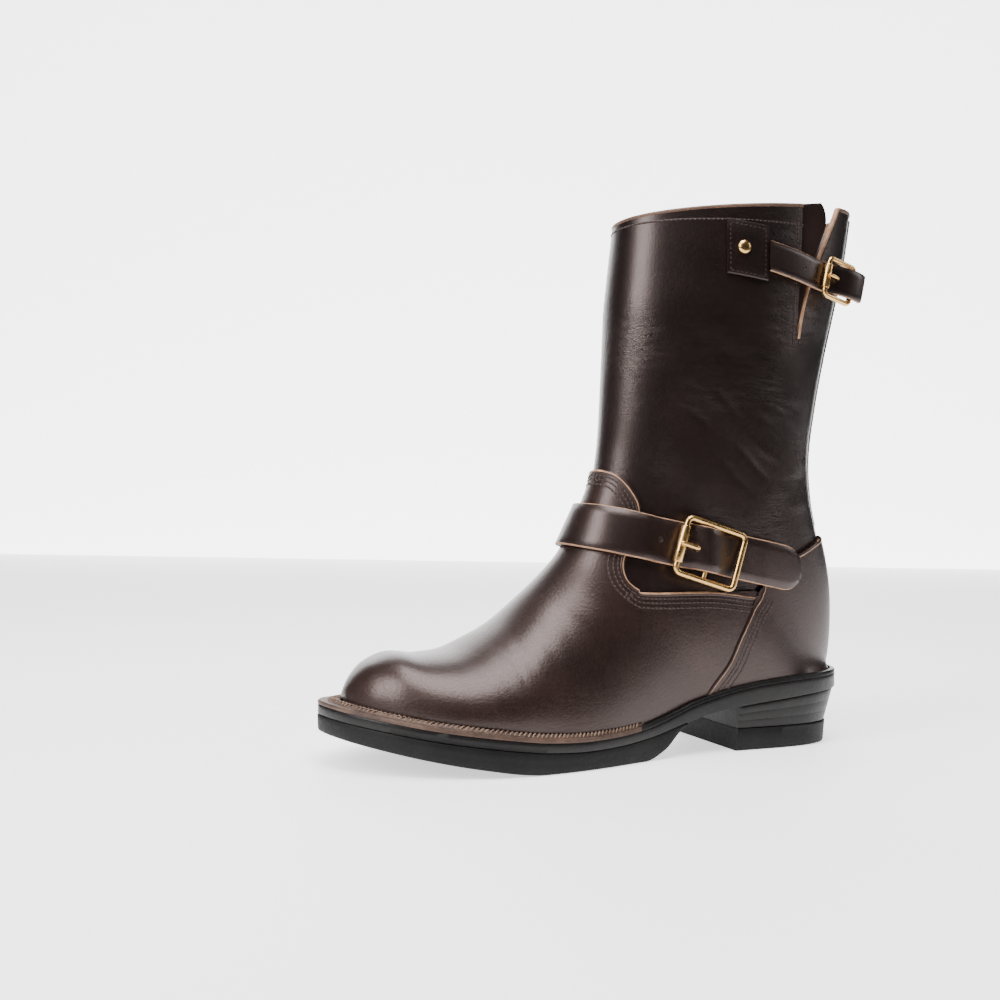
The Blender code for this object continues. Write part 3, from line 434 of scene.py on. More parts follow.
# The same places moved sideways over the face by a true distance: left of the way is positive
def beside(s, a, distance, passes=6):
    s, a = np.array(s, float), np.array(a, float)
    points = onSkin(s, a)
    way = np.gradient(points, axis=0)
    way /= np.linalg.norm(way, axis=1, keepdims=True) + 1e-12
    normal = look(skinNormal, s, a)
    aim = np.cross(normal, way)
    aim /= np.linalg.norm(aim, axis=1, keepdims=True) + 1e-12
    step = np.asarray(distance, float) / passes
    for _ in range(passes):
        ds = onSkin(s + probeS, a) - onSkin(s - probeS, a)
        da = onSkin(s, a + probeA) - onSkin(s, a - probeA)
        ss, sa, aa = (ds * ds).sum(1), (ds * da).sum(1), (da * da).sum(1)
        normal = look(skinNormal, s, a)
        aim = aim - normal * (aim * normal).sum(1)[:, None]
        aim /= np.linalg.norm(aim, axis=1, keepdims=True) + 1e-12
        bs, ba = (ds * aim).sum(1), (da * aim).sum(1)
        size = ss * aa - sa * sa + 1e-18
        s = s + (bs * aa - ba * sa) / size * step * 2 * probeS
        a = a + (ba * ss - bs * sa) / size * step * 2 * probeA
    return np.clip(s, 0, lastRow), np.clip(a, -1, 1)


weld = 0.002 * mm  # points nearer than this become one


# Object from a body's points (run, side, rise) and faces, with the finish of each face
def shape(name, body, looks, nodes=(), picks=None, sharp=40):
    points, faces = np.asarray(body[0], float), body[1]
    turned = np.stack([points[:, 1] - middleSide, middleRun - points[:, 0], points[:, 2]], axis=1)
    mesh = bpy.data.meshes.new(name)
    mesh.from_pydata([tuple(p) for p in turned], [], [tuple(int(k) for k in f) for f in faces])
    for material in looks:
        mesh.materials.append(material)
    if picks is not None:
        mesh.polygons.foreach_set("material_index", np.asarray(picks, np.int32))
    work = bmesh.new()
    work.from_mesh(mesh)
    bmesh.ops.remove_doubles(work, verts=work.verts, dist=weld)
    bmesh.ops.recalc_face_normals(work, faces=work.faces)
    work.to_mesh(mesh)
    work.free()
    mesh.shade_smooth()
    mesh.set_sharp_from_angle(angle=math.radians(sharp))
    obj = bpy.data.objects.new(name, mesh)
    bpy.context.scene.collection.objects.link(obj)
    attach(obj, "root")
    for node in nodes:
        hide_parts(node)


# Quads of a grid of points
def gridQuads(rows, cols, start=0, closed=False):
    faces = []
    for i in range(rows - 1):
        for j in range(cols if closed else cols - 1):
            a, b = start + i * cols + j, start + i * cols + (j + 1) % cols
            faces.append((a, b, b + cols, a + cols))
    return faces


# Band swept along stations of closed cross-sections, with both ends closed
def sweep(stations, closed=False):
    rows, cols = len(stations), len(stations[0])
    points = [p for station in stations for p in station]
    faces = gridQuads(rows, cols, 0, True)
    if closed:
        start = (rows - 1) * cols
        for j in range(cols):
            k = (j + 1) % cols
            faces.append((start + j, start + k, k, j))
    else:
        faces.append(tuple(range(cols))[::-1])
        faces.append(tuple(range((rows - 1) * cols, rows * cols)))
    return points, faces


# Several bodies joined in one list of points and faces
class Heap:
    def __init__(self):
        self.points, self.faces, self.picks = [], [], []

    def add(self, points, faces, pick=0):
        start = len(self.points)
        self.points += [np.asarray(p, float) for p in points]
        picks = pick if isinstance(pick, list) else [pick] * len(faces)
        self.faces += [tuple(k + start for k in f) for f in faces]
        self.picks += picks

    def body(self):
        return self.points, self.faces


# Keeps the part of a mesh where the field is above zero, cut cleanly through its faces
def clipped(points, faces, field):
    points, new, made = [p for p in points], [], {}

    def crossing(a, b):
        key = (min(a, b), max(a, b))
        if key not in made:
            u = field[a] / (field[a] - field[b])
            made[key] = len(points)
            points.append(points[a] * (1 - u) + points[b] * u)
        return made[key]

    for face in faces:
        signs = [field[k] > 0 for k in face]
        if all(signs):
            new.append(face)
        elif any(signs):
            cell = []
            for k, a in enumerate(face):
                b = face[(k + 1) % len(face)]
                if field[a] > 0:
                    cell.append(a)
                if (field[a] > 0) != (field[b] > 0):
                    cell.append(crossing(a, b))
            new.append(tuple(cell))
    used = sorted({k for f in new for k in f})
    renamed = {k: i for i, k in enumerate(used)}
    return np.array([points[k] for k in used]), [tuple(renamed[k] for k in f) for f in new]


# Signed distance in mm of seen points from a closed outline: positive outside it
def outlineField(points, outline):
    px, pz = points[:, 0] / mm, points[:, 2] / mm
    best = np.full(len(points), 1e9)
    inside = np.zeros(len(points), bool)
    for k in range(len(outline)):
        (x0, z0), (x1, z1) = outline[k], outline[(k + 1) % len(outline)]
        dx, dz = x1 - x0, z1 - z0
        size = dx * dx + dz * dz + 1e-12
        u = np.clip(((px - x0) * dx + (pz - z0) * dz) / size, 0, 1)
        best = np.minimum(best, np.hypot(px - x0 - u * dx, pz - z0 - u * dz))
        crosses = (z0 > pz) != (z1 > pz)
        reach = x0 + (pz - z0) * dx / (dz if dz else 1e-12)
        inside ^= crosses & (px < reach)
    return np.where(inside, -best, best)


# Soft troughs (depth below zero) and ridges of the leather, placed as seen from the
# side: run, rise, angle, length, width, depth in mm, and 1 lateral, -1 medial or 0 both.
creaseRows = [
    (226, 50, 64, 24, 1.7, -0.16, 1),
    (218, 52, 68, 30, 1.8, -0.20, 1),
    (209, 56, 74, 22, 2.2, -0.14, 1),
    (196, 62, 80, 26, 2.6, -0.15, 1),
    (184, 68, 70, 22, 3.0, -0.12, 1),
    (224, 50, 64, 30, 2.2, -0.22, -1),
    (213, 54, 70, 34, 2.4, -0.24, -1),
    (200, 58, 74, 30, 2.4, -0.20, -1),
    (176, 70, 56, 40, 5.0, -0.35, 0),
    (160, 80, 44, 40, 6.0, -0.40, 0),
    (60, 184, 24, 40, 2.4, -0.35, 0),
    (56, 192, 16, 44, 2.6, 0.30, 0),
    (52, 199, 10, 40, 2.2, -0.35, 0),
    (50, 208, 4, 42, 2.6, -0.30, 0),
    (64, 172, 30, 38, 2.6, 0.30, 0),
    (72, 164, 34, 36, 2.2, -0.35, 0),
    (84, 158, 38, 34, 2.6, -0.30, 0),
    (40, 156, -20, 34, 3.0, -0.40, 0),
    (34, 142, -26, 30, 3.0, 0.35, 0),
    (92, 196, 36, 40, 2.6, -0.30, 0),
    (104, 204, 28, 44, 3.2, 0.28, 0),
    (112, 190, 34, 36, 2.6, -0.25, 0),
    (96, 226, 12, 60, 9.0, -0.55, 0),
    (30, 232, -30, 44, 7.0, -0.5, 0),
    (108, 254, 4, 60, 12.0, 0.6, 0),
]


creaseLook = {"fade": 6, "wander": 1.5, "wave": 7}


# How far the creases lift or sink the leather at these points
def creased(points):
    run, side, rise = points[:, 0] / mm, points[:, 1] / mm, points[:, 2] / mm
    lift = np.zeros(len(points))
    for x, z, turn, length, width, depth, which in creaseRows:
        on = np.clip(side * which / creaseLook["fade"], 0, 1) if which else 1.0
        ca, sa = math.cos(math.radians(turn)), math.sin(math.radians(turn))
        along = (run - x) * ca + (rise - z) * sa
        across = (rise - z) * ca - (run - x) * sa
        across = across + creaseLook["wander"] * np.sin(along / creaseLook["wave"] + x)
        reach = np.clip(1 - (2 * along / length) ** 2, 0, 1) ** 1.5
        lift += on * depth * reach * np.exp(-((across / width) ** 2))
    return lift * mm


# Lowest height of the upper along the run, just above the midsole
floorRuns = np.linspace(-20 * mm, 320 * mm, 200)
floorRises = np.array([layerRise(1, run) + gap for run in floorRuns])


# Grid of the face at rows s and columns a, moved out, creased, and kept off the midsole
def skinGrid(sRows, aCols, out):
    s, a = (g.ravel() for g in np.meshgrid(sRows, aCols, indexing="ij"))
    points = onSkin(s, a, out + creased(look(skinPoint, s, a)))
    points[:, 2] = np.maximum(points[:, 2], np.interp(points[:, 0], floorRuns, floorRises))
    return points, gridQuads(len(sRows), len(aCols))


# Materials
def node(tree, kind, **inputs):
    made = tree.nodes.new(kind)
    for key, value in inputs.items():
        socket = made.inputs[key.replace("_", " ")]
        if isinstance(value, bpy.types.NodeSocket):
            tree.links.new(value, socket)
        else:
            socket.default_value = value
    return made


def reckon(tree, what, first, second):
    made = node(tree, "ShaderNodeMath", Value=first)
    made.operation = what
    if isinstance(second, bpy.types.NodeSocket):
        tree.links.new(second, made.inputs[1])
    else:
        made.inputs[1].default_value = second
    return made.outputs["Value"]


# New material with its tree, shader and place, and a mottle of the given size
def blank(name, scale, detail):
    material = bpy.data.materials.new(name)
    material.use_nodes = True
    tree = material.node_tree
    place = tree.nodes.new("ShaderNodeTexCoord").outputs["Object"]
    cloud = node(tree, "ShaderNodeTexNoise", Vector=place, Scale=scale, Detail=detail)
    return material, tree, tree.nodes["Principled BSDF"], place, cloud.outputs["Fac"]


def roughen(tree, shader, pattern, finish):
    rough = node(tree, "ShaderNodeMapRange", Value=pattern, From_Min=0.3, From_Max=0.7,
                 To_Min=finish["rough"] - finish["vary"], To_Max=finish["rough"] + finish["vary"])
    tree.links.new(rough.outputs["Result"], shader.inputs["Roughness"])


# Fine wrinkles in patches: lines of a stretched, bent noise
wrinkleLook = {"turn": -32, "stretch": (0.6, 0.32, 1.5), "scale": 150.0, "bend": 1.6, "width": 0.06,
               "patch": 15.0, "from": 0.46, "to": 0.62}


def wrinkles(tree, place, strength):
    turned = node(tree, "ShaderNodeMapping", Vector=place, Scale=wrinkleLook["stretch"],
                  Rotation=(math.radians(wrinkleLook["turn"]), 0, 0))
    lines = node(tree, "ShaderNodeTexNoise", Vector=turned.outputs["Vector"],
                 Scale=wrinkleLook["scale"], Detail=3.0, Distortion=wrinkleLook["bend"])
    ridged = reckon(tree, "PINGPONG", lines.outputs["Fac"], wrinkleLook["width"])
    patches = node(tree, "ShaderNodeTexNoise", Vector=place, Scale=wrinkleLook["patch"], Detail=1.0)
    mask = node(tree, "ShaderNodeMapRange", Value=patches.outputs["Fac"],
                From_Min=wrinkleLook["from"], From_Max=wrinkleLook["to"], To_Max=strength)
    return reckon(tree, "MULTIPLY", ridged, mask.outputs["Result"])


leatherLook = {
    "cloud": 26.0, "grain": 1400.0, "dark": (0.0036, 0.0020, 0.0019),
    "light": (0.0088, 0.0046, 0.0042), "wrinkle": 0.0, "rough": 0.34, "vary": 0.06, "bump": 0.18,
    "deep": 0.2, "coat": 0.10, "coatRough": 0.22, "shine": 0.5, "glow": (1.0, 0.78, 0.74),
    "cells": 0.55, "stops": (0.32, 0.72),
}


# Leather or rubber: mottled colour, fine grain, wrinkles and a light polish
def hide(name, **changes):
    finish = {**leatherLook, **changes}
    material, tree, shader, place, cloud = blank(name, finish["cloud"], 5.0)
    fine = node(tree, "ShaderNodeTexNoise", Vector=place, Scale=finish["grain"], Detail=4.0)
    cell = node(tree, "ShaderNodeTexVoronoi", Vector=place, Scale=finish["grain"] * finish["cells"])
    ramp = node(tree, "ShaderNodeValToRGB", Fac=cloud)
    for stop, at, tone in zip(ramp.color_ramp.elements, finish["stops"], ("dark", "light")):
        stop.position = at
        stop.color = (*finish[tone], 1)
    tree.links.new(ramp.outputs["Color"], shader.inputs["Base Color"])
    roughen(tree, shader, fine.outputs["Fac"], finish)
    height = reckon(tree, "ADD", fine.outputs["Fac"], cell.outputs["Distance"])
    if finish["wrinkle"]:
        height = reckon(tree, "ADD", height, wrinkles(tree, place, finish["wrinkle"]))
    bump = node(tree, "ShaderNodeBump", Height=height, Strength=finish["bump"],
                Distance=finish["deep"] * mm)
    tree.links.new(bump.outputs["Normal"], shader.inputs["Normal"])
    shader.inputs["Coat Weight"].default_value = finish["coat"]
    shader.inputs["Coat Roughness"].default_value = finish["coatRough"]
    shader.inputs["Specular IOR Level"].default_value = finish["shine"]
    shader.inputs["Specular Tint"].default_value = (*finish["glow"], 1)
    return material


def metal(name, finish):
    material, tree, shader, _, cloud = blank(name, finish["cloud"], 4.0)
    roughen(tree, shader, cloud, finish)
    shader.inputs["Base Color"].default_value = (*finish["colour"], 1)
    shader.inputs["Metallic"].default_value = 1.0
    return material


shaftLeather = hide("shaftLeather", wrinkle=60.0)
vampLeather = hide("vampLeather", dark=(0.0075, 0.0035, 0.0029), light=(0.0180, 0.0090, 0.0073),
                   rough=0.36, grain=1100.0, bump=0.26, wrinkle=8.0)
strapLeather = hide("strapLeather", dark=(0.0055, 0.0028, 0.0024), light=(0.0135, 0.0072, 0.0060))
liningLeather = hide("liningLeather", dark=(0.16, 0.085, 0.05), light=(0.25, 0.15, 0.09), rough=0.62,
                     coat=0.0, bump=0.5)
rawEdge = hide("rawEdge", cloud=160.0, dark=(0.23, 0.12, 0.065), light=(0.42, 0.25, 0.15), rough=0.7,
               coat=0.0, bump=0.6, grain=2400.0)
threadLook = hide("threadLook", dark=(0.014, 0.0075, 0.0058), light=(0.034, 0.019, 0.014), rough=0.5,
                  coat=0.0)
# Stitch channel: painted shade, a near-black strip where the recessed channel would lie in shadow
channelShade = hide("channelShade", dark=(0.0024, 0.0015, 0.0013), light=(0.005, 0.003, 0.0025),
                   rough=0.55, coat=0.0)
collarEdge = hide("collarEdge", dark=(0.06, 0.032, 0.02), light=(0.15, 0.085, 0.055), rough=0.6,
                  coat=0.0, bump=0.5)
weltLeather = hide("weltLeather", cloud=90.0, dark=(0.022, 0.013, 0.009), light=(0.085, 0.050, 0.034),
                   rough=0.6, coat=0.0, bump=0.8, grain=900.0)
weltThread = hide("weltThread", cloud=120.0, dark=(0.10, 0.065, 0.045), light=(0.24, 0.165, 0.12),
                  rough=0.65, coat=0.0, bump=0.6, grain=1500.0)
# Hole disc: painted shade, near black, standing in for the shadow inside a punched hole
holeShade = hide("holeShade", dark=(0.002, 0.0015, 0.0012), light=(0.004, 0.003, 0.0025), rough=0.8,
                coat=0.0)
blackEdge = hide("blackEdge", cloud=40.0, dark=(0.0035, 0.003, 0.003), light=(0.0085, 0.0075, 0.007),
                 rough=0.42, bump=0.35, grain=700.0, shine=0.18, glow=(1, 1, 1))
rubberLook = hide("rubberLook", cloud=40.0, dark=(0.0035, 0.0035, 0.0037),
                  light=(0.0085, 0.008, 0.008), rough=0.55, bump=0.4, grain=800.0, coat=0.0,
                  shine=0.15, glow=(1, 1, 1))
brass = metal("brass", {"cloud": 120.0, "colour": (0.66, 0.40, 0.15), "rough": 0.27, "vary": 0.07})
print("materials made")

# Shaft and lining, with the slit: rise, and the runs of its front and rear edges, in mm
slitRows = [
    (236, 46.0, 45.0), (247, 45.8, 43.4), (258, 45.6, 41.0), (268, 45.4, 38.0),
    (280, 45.2, 33.0), (292, 45.0, 27.0), (303, 44.8, 21.0), (312, 44.6, 16.0),
]
slitOpen = [(44.4, 345), (-4, 345)]  # where it would end, well above the collar
slitOutline = [(front, rise) for rise, front, _ in slitRows] + slitOpen
slitOutline += [(rear, rise) for rise, _, rear in reversed(slitRows)]
shaft = {"rows": 300, "cols": 161, "liningRows": 130, "liningCols": 81, "wall": 2.2}
heap = Heap()
for pick, (rows, cols, out) in enumerate(((shaft["rows"], shaft["cols"], 0.0),
                                          (shaft["liningRows"], shaft["liningCols"], -shaft["wall"]))):
    points, faces = skinGrid(np.linspace(0, lastRow, rows), np.linspace(-1, 1, cols), out * mm)
    field = np.where(points[:, 1] > 0, outlineField(points, slitOutline), 99.0)
    heap.add(*clipped(points, faces, field), pick)
shape("shaft", heap.body(), [shaftLeather, liningLeather], ["upper"], heap.picks, 60)
print("shaft made")

# Vamp and counter, cut by their outlines; the far lines lie well outside the boot
farLow, farBack, farHigh, farFront = -20, -80, 420, 190
tabTop = (153.5, 158.6)
vampTop = denseLine([tabTop] + vampEdgeRows[1:], 16)
vampLine = denseLine([tabTop] + vampEdgeRows[1:] + counterEdgeRows, 16)
vampGone = [tuple(p) for p in vampLine]
vampGone += [(104, farLow), (farBack, farLow), (farBack, farHigh), (farFront, farHigh)]
vampGone += [(farFront, tabTop[1])]
counterLine = denseLine([(r - 0.4, z) for r, z in counterEdgeRows], 16)
counterTop = denseLine([(65, 92.2), (50, 101), (36, 110), (20, 117.5), (6, 121.5), (-12, 122.8)], 12)
counterKept = [tuple(p) for p in counterLine] + [(104, farLow), (farBack, farLow), (farBack, 122.8)]
counterKept += [tuple(p) for p in counterTop[::-1]]
vamp = {"from": 0, "to": 18.2, "rows": 230, "cols": 181, "thick": 1.7}
counter = {"from": 10, "to": 24, "rows": 170, "cols": 181, "thick": 2.2}
for name, piece, outline, sign in (("vamp", vamp, vampGone, 1), ("counter", counter, counterKept, -1)):
    points, faces = skinGrid(np.linspace(piece["from"], piece["to"], piece["rows"]),
                             np.linspace(-1, 1, piece["cols"]), gap + piece["thick"] * mm)
    body = clipped(points, faces, sign * outlineField(points, outline))
    shape(name, body, [vampLeather], [name], None, 60)
print("vamp and counter made")


# Cut edge of an overlay: a ribbon along its line, its profile as (inward, height) in mm
def edgeRibbon(s, a, inward, profile, heap, picks):
    rows = []
    for d, h in profile:
        sb, ab = beside(s, a, inward * d * mm)
        rows.append(onSkin(sb, ab, h * mm + creased(look(skinPoint, sb, ab))))
    points = [rows[j][i] for i in range(len(s)) for j in range(len(profile))]
    faces = gridQuads(len(s), len(profile))
    heap.add(points, faces, [picks[k % (len(profile) - 1)] for k in range(len(faces))])


# A line seen from the side, in mm, as places on the outer side of the boot
def seenLine(line):
    return placeOn(line[:, 0] * mm, line[:, 1] * mm, 1)


# Both halves of a side-view line, joined over the front ridge where it starts
def wholeLine(line, joined=True):
    s, a = seenLine(line)
    if not joined:
        return [(s, a), (s, -a)]
    a[0] = 0.0
    return [(np.concatenate([s[::-1], s[1:]]), np.concatenate([-a[::-1], a[1:]]))]


ribbonPitch = 1.2  # spacing of the points along a cut edge, in mm


# Raw edge of an overlay that stands this much further out than the vamp, in mm
def overlayProfile(more):
    return [(-0.5, 0.0), (-0.45, 1.2 + 0.8 * more), (-0.1, 2.0 + more), (0.7, 2.35 + more),
            (1.3, 2.3 + more), (1.9, 1.95 + more)]


edges = Heap()
tan = [0, 0, 0, 1, 1]  # raw edge, then leather, across the ribbon
for s, a in wholeLine(vampTop):
    s, a = evenPlaces(s, a, ribbonPitch * mm)
    edgeRibbon(s, a, -1, overlayProfile(0.0), edges, tan)
seamEnd = 2.4  # the counter's raw edge stops at this run, beside the back seam
counterBack = counterTop[counterTop[:, 0] > seamEnd][::-1]
for s, a in wholeLine(np.concatenate([counterBack, counterLine]), False):
    s, a = evenPlaces(s, a, ribbonPitch * mm)
    edgeRibbon(s, a, -1 if a[0] > 0 else 1, overlayProfile(0.5), edges, tan)
shape("cutEdges", edges.body(), [rawEdge, vampLeather], (), edges.picks, 60)
print("cut edges made")


# Closed loop of the sole's edge at even shares, heel to toe on one side and back
def soleLoop(shares, inset, height, edge=None):
    right, left = [], []
    for q in shares:
        run, centre, half = edge(q) if edge else soleEdge(q, inset * mm)
        right.append((run, centre + half, height(run)))
        left.append((run, centre - half, height(run)))
    return [np.array(p) for p in right + left[::-1]]


# Layer of the sole from loops that go down its side, closed at its top and bottom
def layerBody(loops, shares):
    count = len(shares)
    points = [p for loop in loops for p in loop]
    size = 2 * count
    faces = gridQuads(len(loops), size, 0, True)
    for start in (0, (len(loops) - 1) * size):
        for i in range(count - 1):
            j = size - 1 - i
            faces.append((start + i, start + i + 1, start + j - 1, start + j))
    return points, faces


lastStation = len(soleEdgeRows) - 1
fineSteps = 500  # fine steps along the edge that its length is added up over


# Shares of the sole between two stations of its edge, evenly spaced along that edge
def evenShares(first, last, count):
    dense = np.linspace(first / lastStation, last / lastStation, fineSteps)
    edge = np.array([soleEdge(q)[0] for q in dense])
    wide = np.array([soleEdge(q)[2] for q in dense])
    length = np.concatenate([[0], np.cumsum(np.hypot(np.diff(edge), np.diff(wide)))])
    return np.interp(np.linspace(0, length[-1], count), length, dense)


# Heights along the sole: a face of a layer, or the outsole's underside up to the shank
def level(column, lift=0.0):
    return lambda run: layerRise(column, run) + lift * mm


def under(lift=0.0):
    return lambda run: min(layerRise(3, run) + lift * mm, layerRise(2, run) - outsole["meet"] * mm)


# Midsole: inset, face and height past it of each loop down its side, in mm
midsole = {
    "count": 150,
    "loops": [(1.6, 1, 0.0), (0.5, 1, -0.15), (0.2, 1, -0.7), (0.35, 1, -2.4), (0.2, 2, 0.7),
              (0.6, 2, 0.1), (1.6, 2, 0.0)],
}
shares = evenShares(0, lastStation, midsole["count"])
loops = [soleLoop(shares, inset, level(face, lift)) for inset, face, lift in midsole["loops"]]
shape("midsole", layerBody(loops, shares), [blackEdge], ["midsole"])

# Outsole: loops by inset and height at the top, between, and at the underside, in mm
outsole = {
    "from": 8.62, "count": 110, "meet": 0.4, "top": [(1.2, -0.1), (0.5, -0.3), (0.1, -1.0)],
    "between": (0.35, 0.65), "bottom": [(0.5, 1.0), (0.9, 0.35), (1.8, 0.0)],
}
fore = evenShares(outsole["from"], lastStation, outsole["count"])
loops = [soleLoop(fore, inset, level(2, lift)) for inset, lift in outsole["top"]]
high, low = soleLoop(fore, 0.2, level(2, -1.0)), soleLoop(fore, 0.4, under(1.2))
for part in outsole["between"]:
    loops.append([a * (1 - part) + b * part for a, b in zip(high, low)])
loops += [soleLoop(fore, inset, under(lift)) for inset, lift in outsole["bottom"]]
shape("outsole", layerBody(loops, fore), [rubberLook], ["outsole"])

# Heel stack and top lift: how far each is drawn in at its top and how much more at its
# bottom, at the sides and at the back, in mm; each lift of the stack bulges a little
heel = {
    "to": 7.2857, "count": 90, "side": (1.0, 1.6), "back": (1.6, 5.8), "lifts": 3,
    "bulge": ((0.06, 0.0), (0.5, 0.0), (0.96, 0.0), (1.0, 0.09)), "last": 0.99,
}
heelShares = evenShares(0, heel["to"], heel["count"])


def drawnIn(piece, u, inset):
    (side, sideMore), (back, backMore) = piece["side"], piece["back"]
    return heelEdge((side + sideMore * u + inset) * mm, (back + backMore * u + inset) * mm)


def heelLoop(u, inset=0.0):
    low = topLift + gap
    return soleLoop(heelShares, 0.0, lambda run: (layerRise(2, run) - gap) * (1 - u) + low * u,
                    drawnIn(heel, u, inset))


loops = [heelLoop(0.0, 0.8), heelLoop(0.01, 0.1)]
for k in range(heel["lifts"]):
    for u, inset in heel["bulge"]:
        loops.append(heelLoop(min((k + u) / heel["lifts"], heel["last"]), inset))
loops += [heelLoop(1.0, 0.8)]
shape("heelStack", layerBody(loops, heelShares), [blackEdge], ["heel_stack"])

lift = {
    "side": (2.2, 0.8), "back": (6.8, 0.8),
    "loops": ((12.8, 1.2), (12.7, 0.4), (12.2, 0.0), (6, 0.05), (1.0, 0.0), (0.3, 0.3), (0.0, 1.2)),
}


def liftLoop(z, inset):
    return soleLoop(heelShares, 0.0, lambda run: z * mm, drawnIn(lift, 1 - z * mm / topLift, inset))


loops = [liftLoop(z, inset) for z, inset in lift["loops"]]
shape("topLift", layerBody(loops, heelShares), [rubberLook], ["top_lift"])

insole = {"count": 90, "inset": 4.1, "loops": [(1.2, 3.35), (0.2, 3.2), (0.0, 2.5), (0.0, 0.4)]}
inShares = evenShares(0, lastStation, insole["count"])


def insoleLoop(more, height):
    return soleLoop(inShares, 0.0, level(1, height), lambda q: footLine(q, -(insole["inset"] + more) * mm))


loops = [insoleLoop(more, height) for more, height in insole["loops"]]
shape("insole", layerBody(loops, inShares), [liningLeather], ["insole"])


rimInset = 0.3  # welt and rand start this far inside the sole's edge, in mm


# Spot on the midsole's rim: u 0 at the sole's edge and 1 at the upper, h high in mm
def rimSpot(q, side, outset, u, h):
    run, centre, half = soleEdge(q, rimInset * mm)
    outer = np.array([run, centre + side * half])
    run, centre, half = footLine(q, outset * mm)
    inner = np.array([run, centre + side * half])
    at = outer * (1 - u) + inner * u
    return np.array([at[0], at[1], layerRise(1, at[0]) + gap + h * mm])


# Strip along the rim, through stations of share and side, with a profile of u and h
def rimStrip(stations, profile, outset):
    return sweep([[rimSpot(q, side, outset, u, h) for u, h in profile(i)]
                  for i, (q, side) in enumerate(stations)])


# The welt's inner ridge is uneven, as pulled up by its stitches
welt = {"from": 10, "count": 190, "outset": 2.1, "ridge": 3.0, "waves": (0.28, 0.2)}
weltShares = evenShares(welt["from"], lastStation, welt["count"])
weltWay = [(q, 1) for q in weltShares] + [(q, -1) for q in weltShares[:-1][::-1]]


def weltProfile(i):
    first, second = welt["waves"]
    ridge = welt["ridge"] + first * math.sin(i * 2.1) + second * math.sin(i * 0.83 + 1)
    return [(0.0, -0.2), (-0.02, 1.0), (0.05, 1.9), (0.22, 2.1), (0.42, 2.0), (0.52, ridge),
            (0.72, ridge + 0.4), (0.9, 3.0), (1.0, 2.2), (1.0, -0.2)]


shape("welt", rimStrip(weltWay, weltProfile, welt["outset"]), [weltLeather], ["welt"])
rand = {
    "to": 10.1, "count": 110, "outset": 2.6,
    "profile": [(0.0, -0.2), (0.0, 1.2), (0.12, 1.9), (0.4, 2.3), (0.8, 2.5), (1.0, 2.3), (1.0, -0.2)],
}
randShares = evenShares(0, rand["to"], rand["count"])
randWay = [(q, 1) for q in randShares[::-1]] + [(q, -1) for q in randShares[1:]]
strip = rimStrip(randWay, lambda i: rand["profile"], rand["outset"])
shape("rand", strip, [blackEdge], ["rand"])
print("sole made")

# Instep strap: its line round the shaft, and how far it stands off the face at each run
instepLine = {"rise": 127.5 * mm, "datum": 171 * mm, "slope": 0.185, "hub": 80 * mm}
buckleRun = 102.5 * mm
liftRows = [
    (37, 3.2), (62, 3.1), (72, 2.4), (87, 2.4), (102.5, 7.6), (117, 1.0), (127, 1.0), (138, 3.0),
    (150, 3.1),
]


def strapLift(run):
    return spline([r[0] for r in liftRows], [r[1] for r in liftRows], run / mm) * mm


# Places on a strap's line at angles phi, moved across it
def onLine(line, phi, across=0.0):
    return spinPlace(phi, line["rise"] + across, line["slope"], line["datum"], line["hub"])


# Angles along a strap's line on one side, with their runs
phiEase = 0.02


def lineWay(line, side, count):
    phis = np.linspace(phiEase, math.pi - phiEase, count) * side
    return phis, look(skinPoint, *onLine(line, phis))[:, 0]


def phiAt(way, run):
    return float(np.interp(-run, -way[1], way[0]))


lateralWay, medialWay = lineWay(instepLine, 1, 120), lineWay(instepLine, -1, 120)

# Cross-section of a strap: across as share of its half width, height as share of its
# thickness, and whether the face after it is cut edge
strapSection = [
    (-0.955, 1.0, 0), (-0.6, 1.06, 0), (-0.2, 1.09, 0), (0.2, 1.09, 0), (0.6, 1.06, 0), (0.955, 1.0, 1),
    (1.0, 0.72, 1), (1.0, 0.25, 1), (0.97, 0.0, 0), (0.0, 0.0, 0), (-0.97, 0.0, 1), (-1.0, 0.25, 1),
    (-1.0, 0.72, 1),
]


def strapRow(line, phi, half, thick, lift):
    across, high = (np.array([q[k] for q in strapSection]) for k in (0, 1))
    s, a = onLine(line, phi, across * half * mm)
    return list(onSkin(s, a, lift + high * thick * mm))


def strapShape(name, rows, node):
    picks = [q[2] for q in strapSection] * (len(rows) - 1) + [0, 1]
    shape(name, sweep(rows), [strapLeather, rawEdge], [node], picks, 60)


strap = {
    "thick": 2.0, "half": 13.0, "from": 37.2, "tip": 13.5, "blunt": 0.14, "tipRows": 8, "step": 1.2,
    "to": 145, "rows": 76, "medialTo": 80, "medialRows": 100, "lift": 3.1, "bow": 0.6, "settle": 0.7,
    "spans": 22, "bowOver": 3, "settleFrom": 15, "settleOver": 7,
}
rows = []
for k in range(strap["tipRows"] + 1):
    turn = k / strap["tipRows"] * math.pi / 2
    along = (strap["from"] + strap["tip"] * (1 - math.cos(turn))) * mm
    width = math.sin(turn) * (1 - strap["blunt"]) + strap["blunt"]
    rows.append(strapRow(instepLine, phiAt(lateralWay, along), strap["half"] * width, strap["thick"],
                         strapLift(along)))
for along in np.linspace(strap["from"] + strap["tip"] + strap["step"], strap["to"], strap["rows"]) * mm:
    rows.append(strapRow(instepLine, phiAt(lateralWay, along), strap["half"], strap["thick"],
                         strapLift(along)))
phiFront = phiAt(lateralWay, strap["to"] * mm)
phiBack = phiAt(medialWay, strap["medialTo"] * mm)
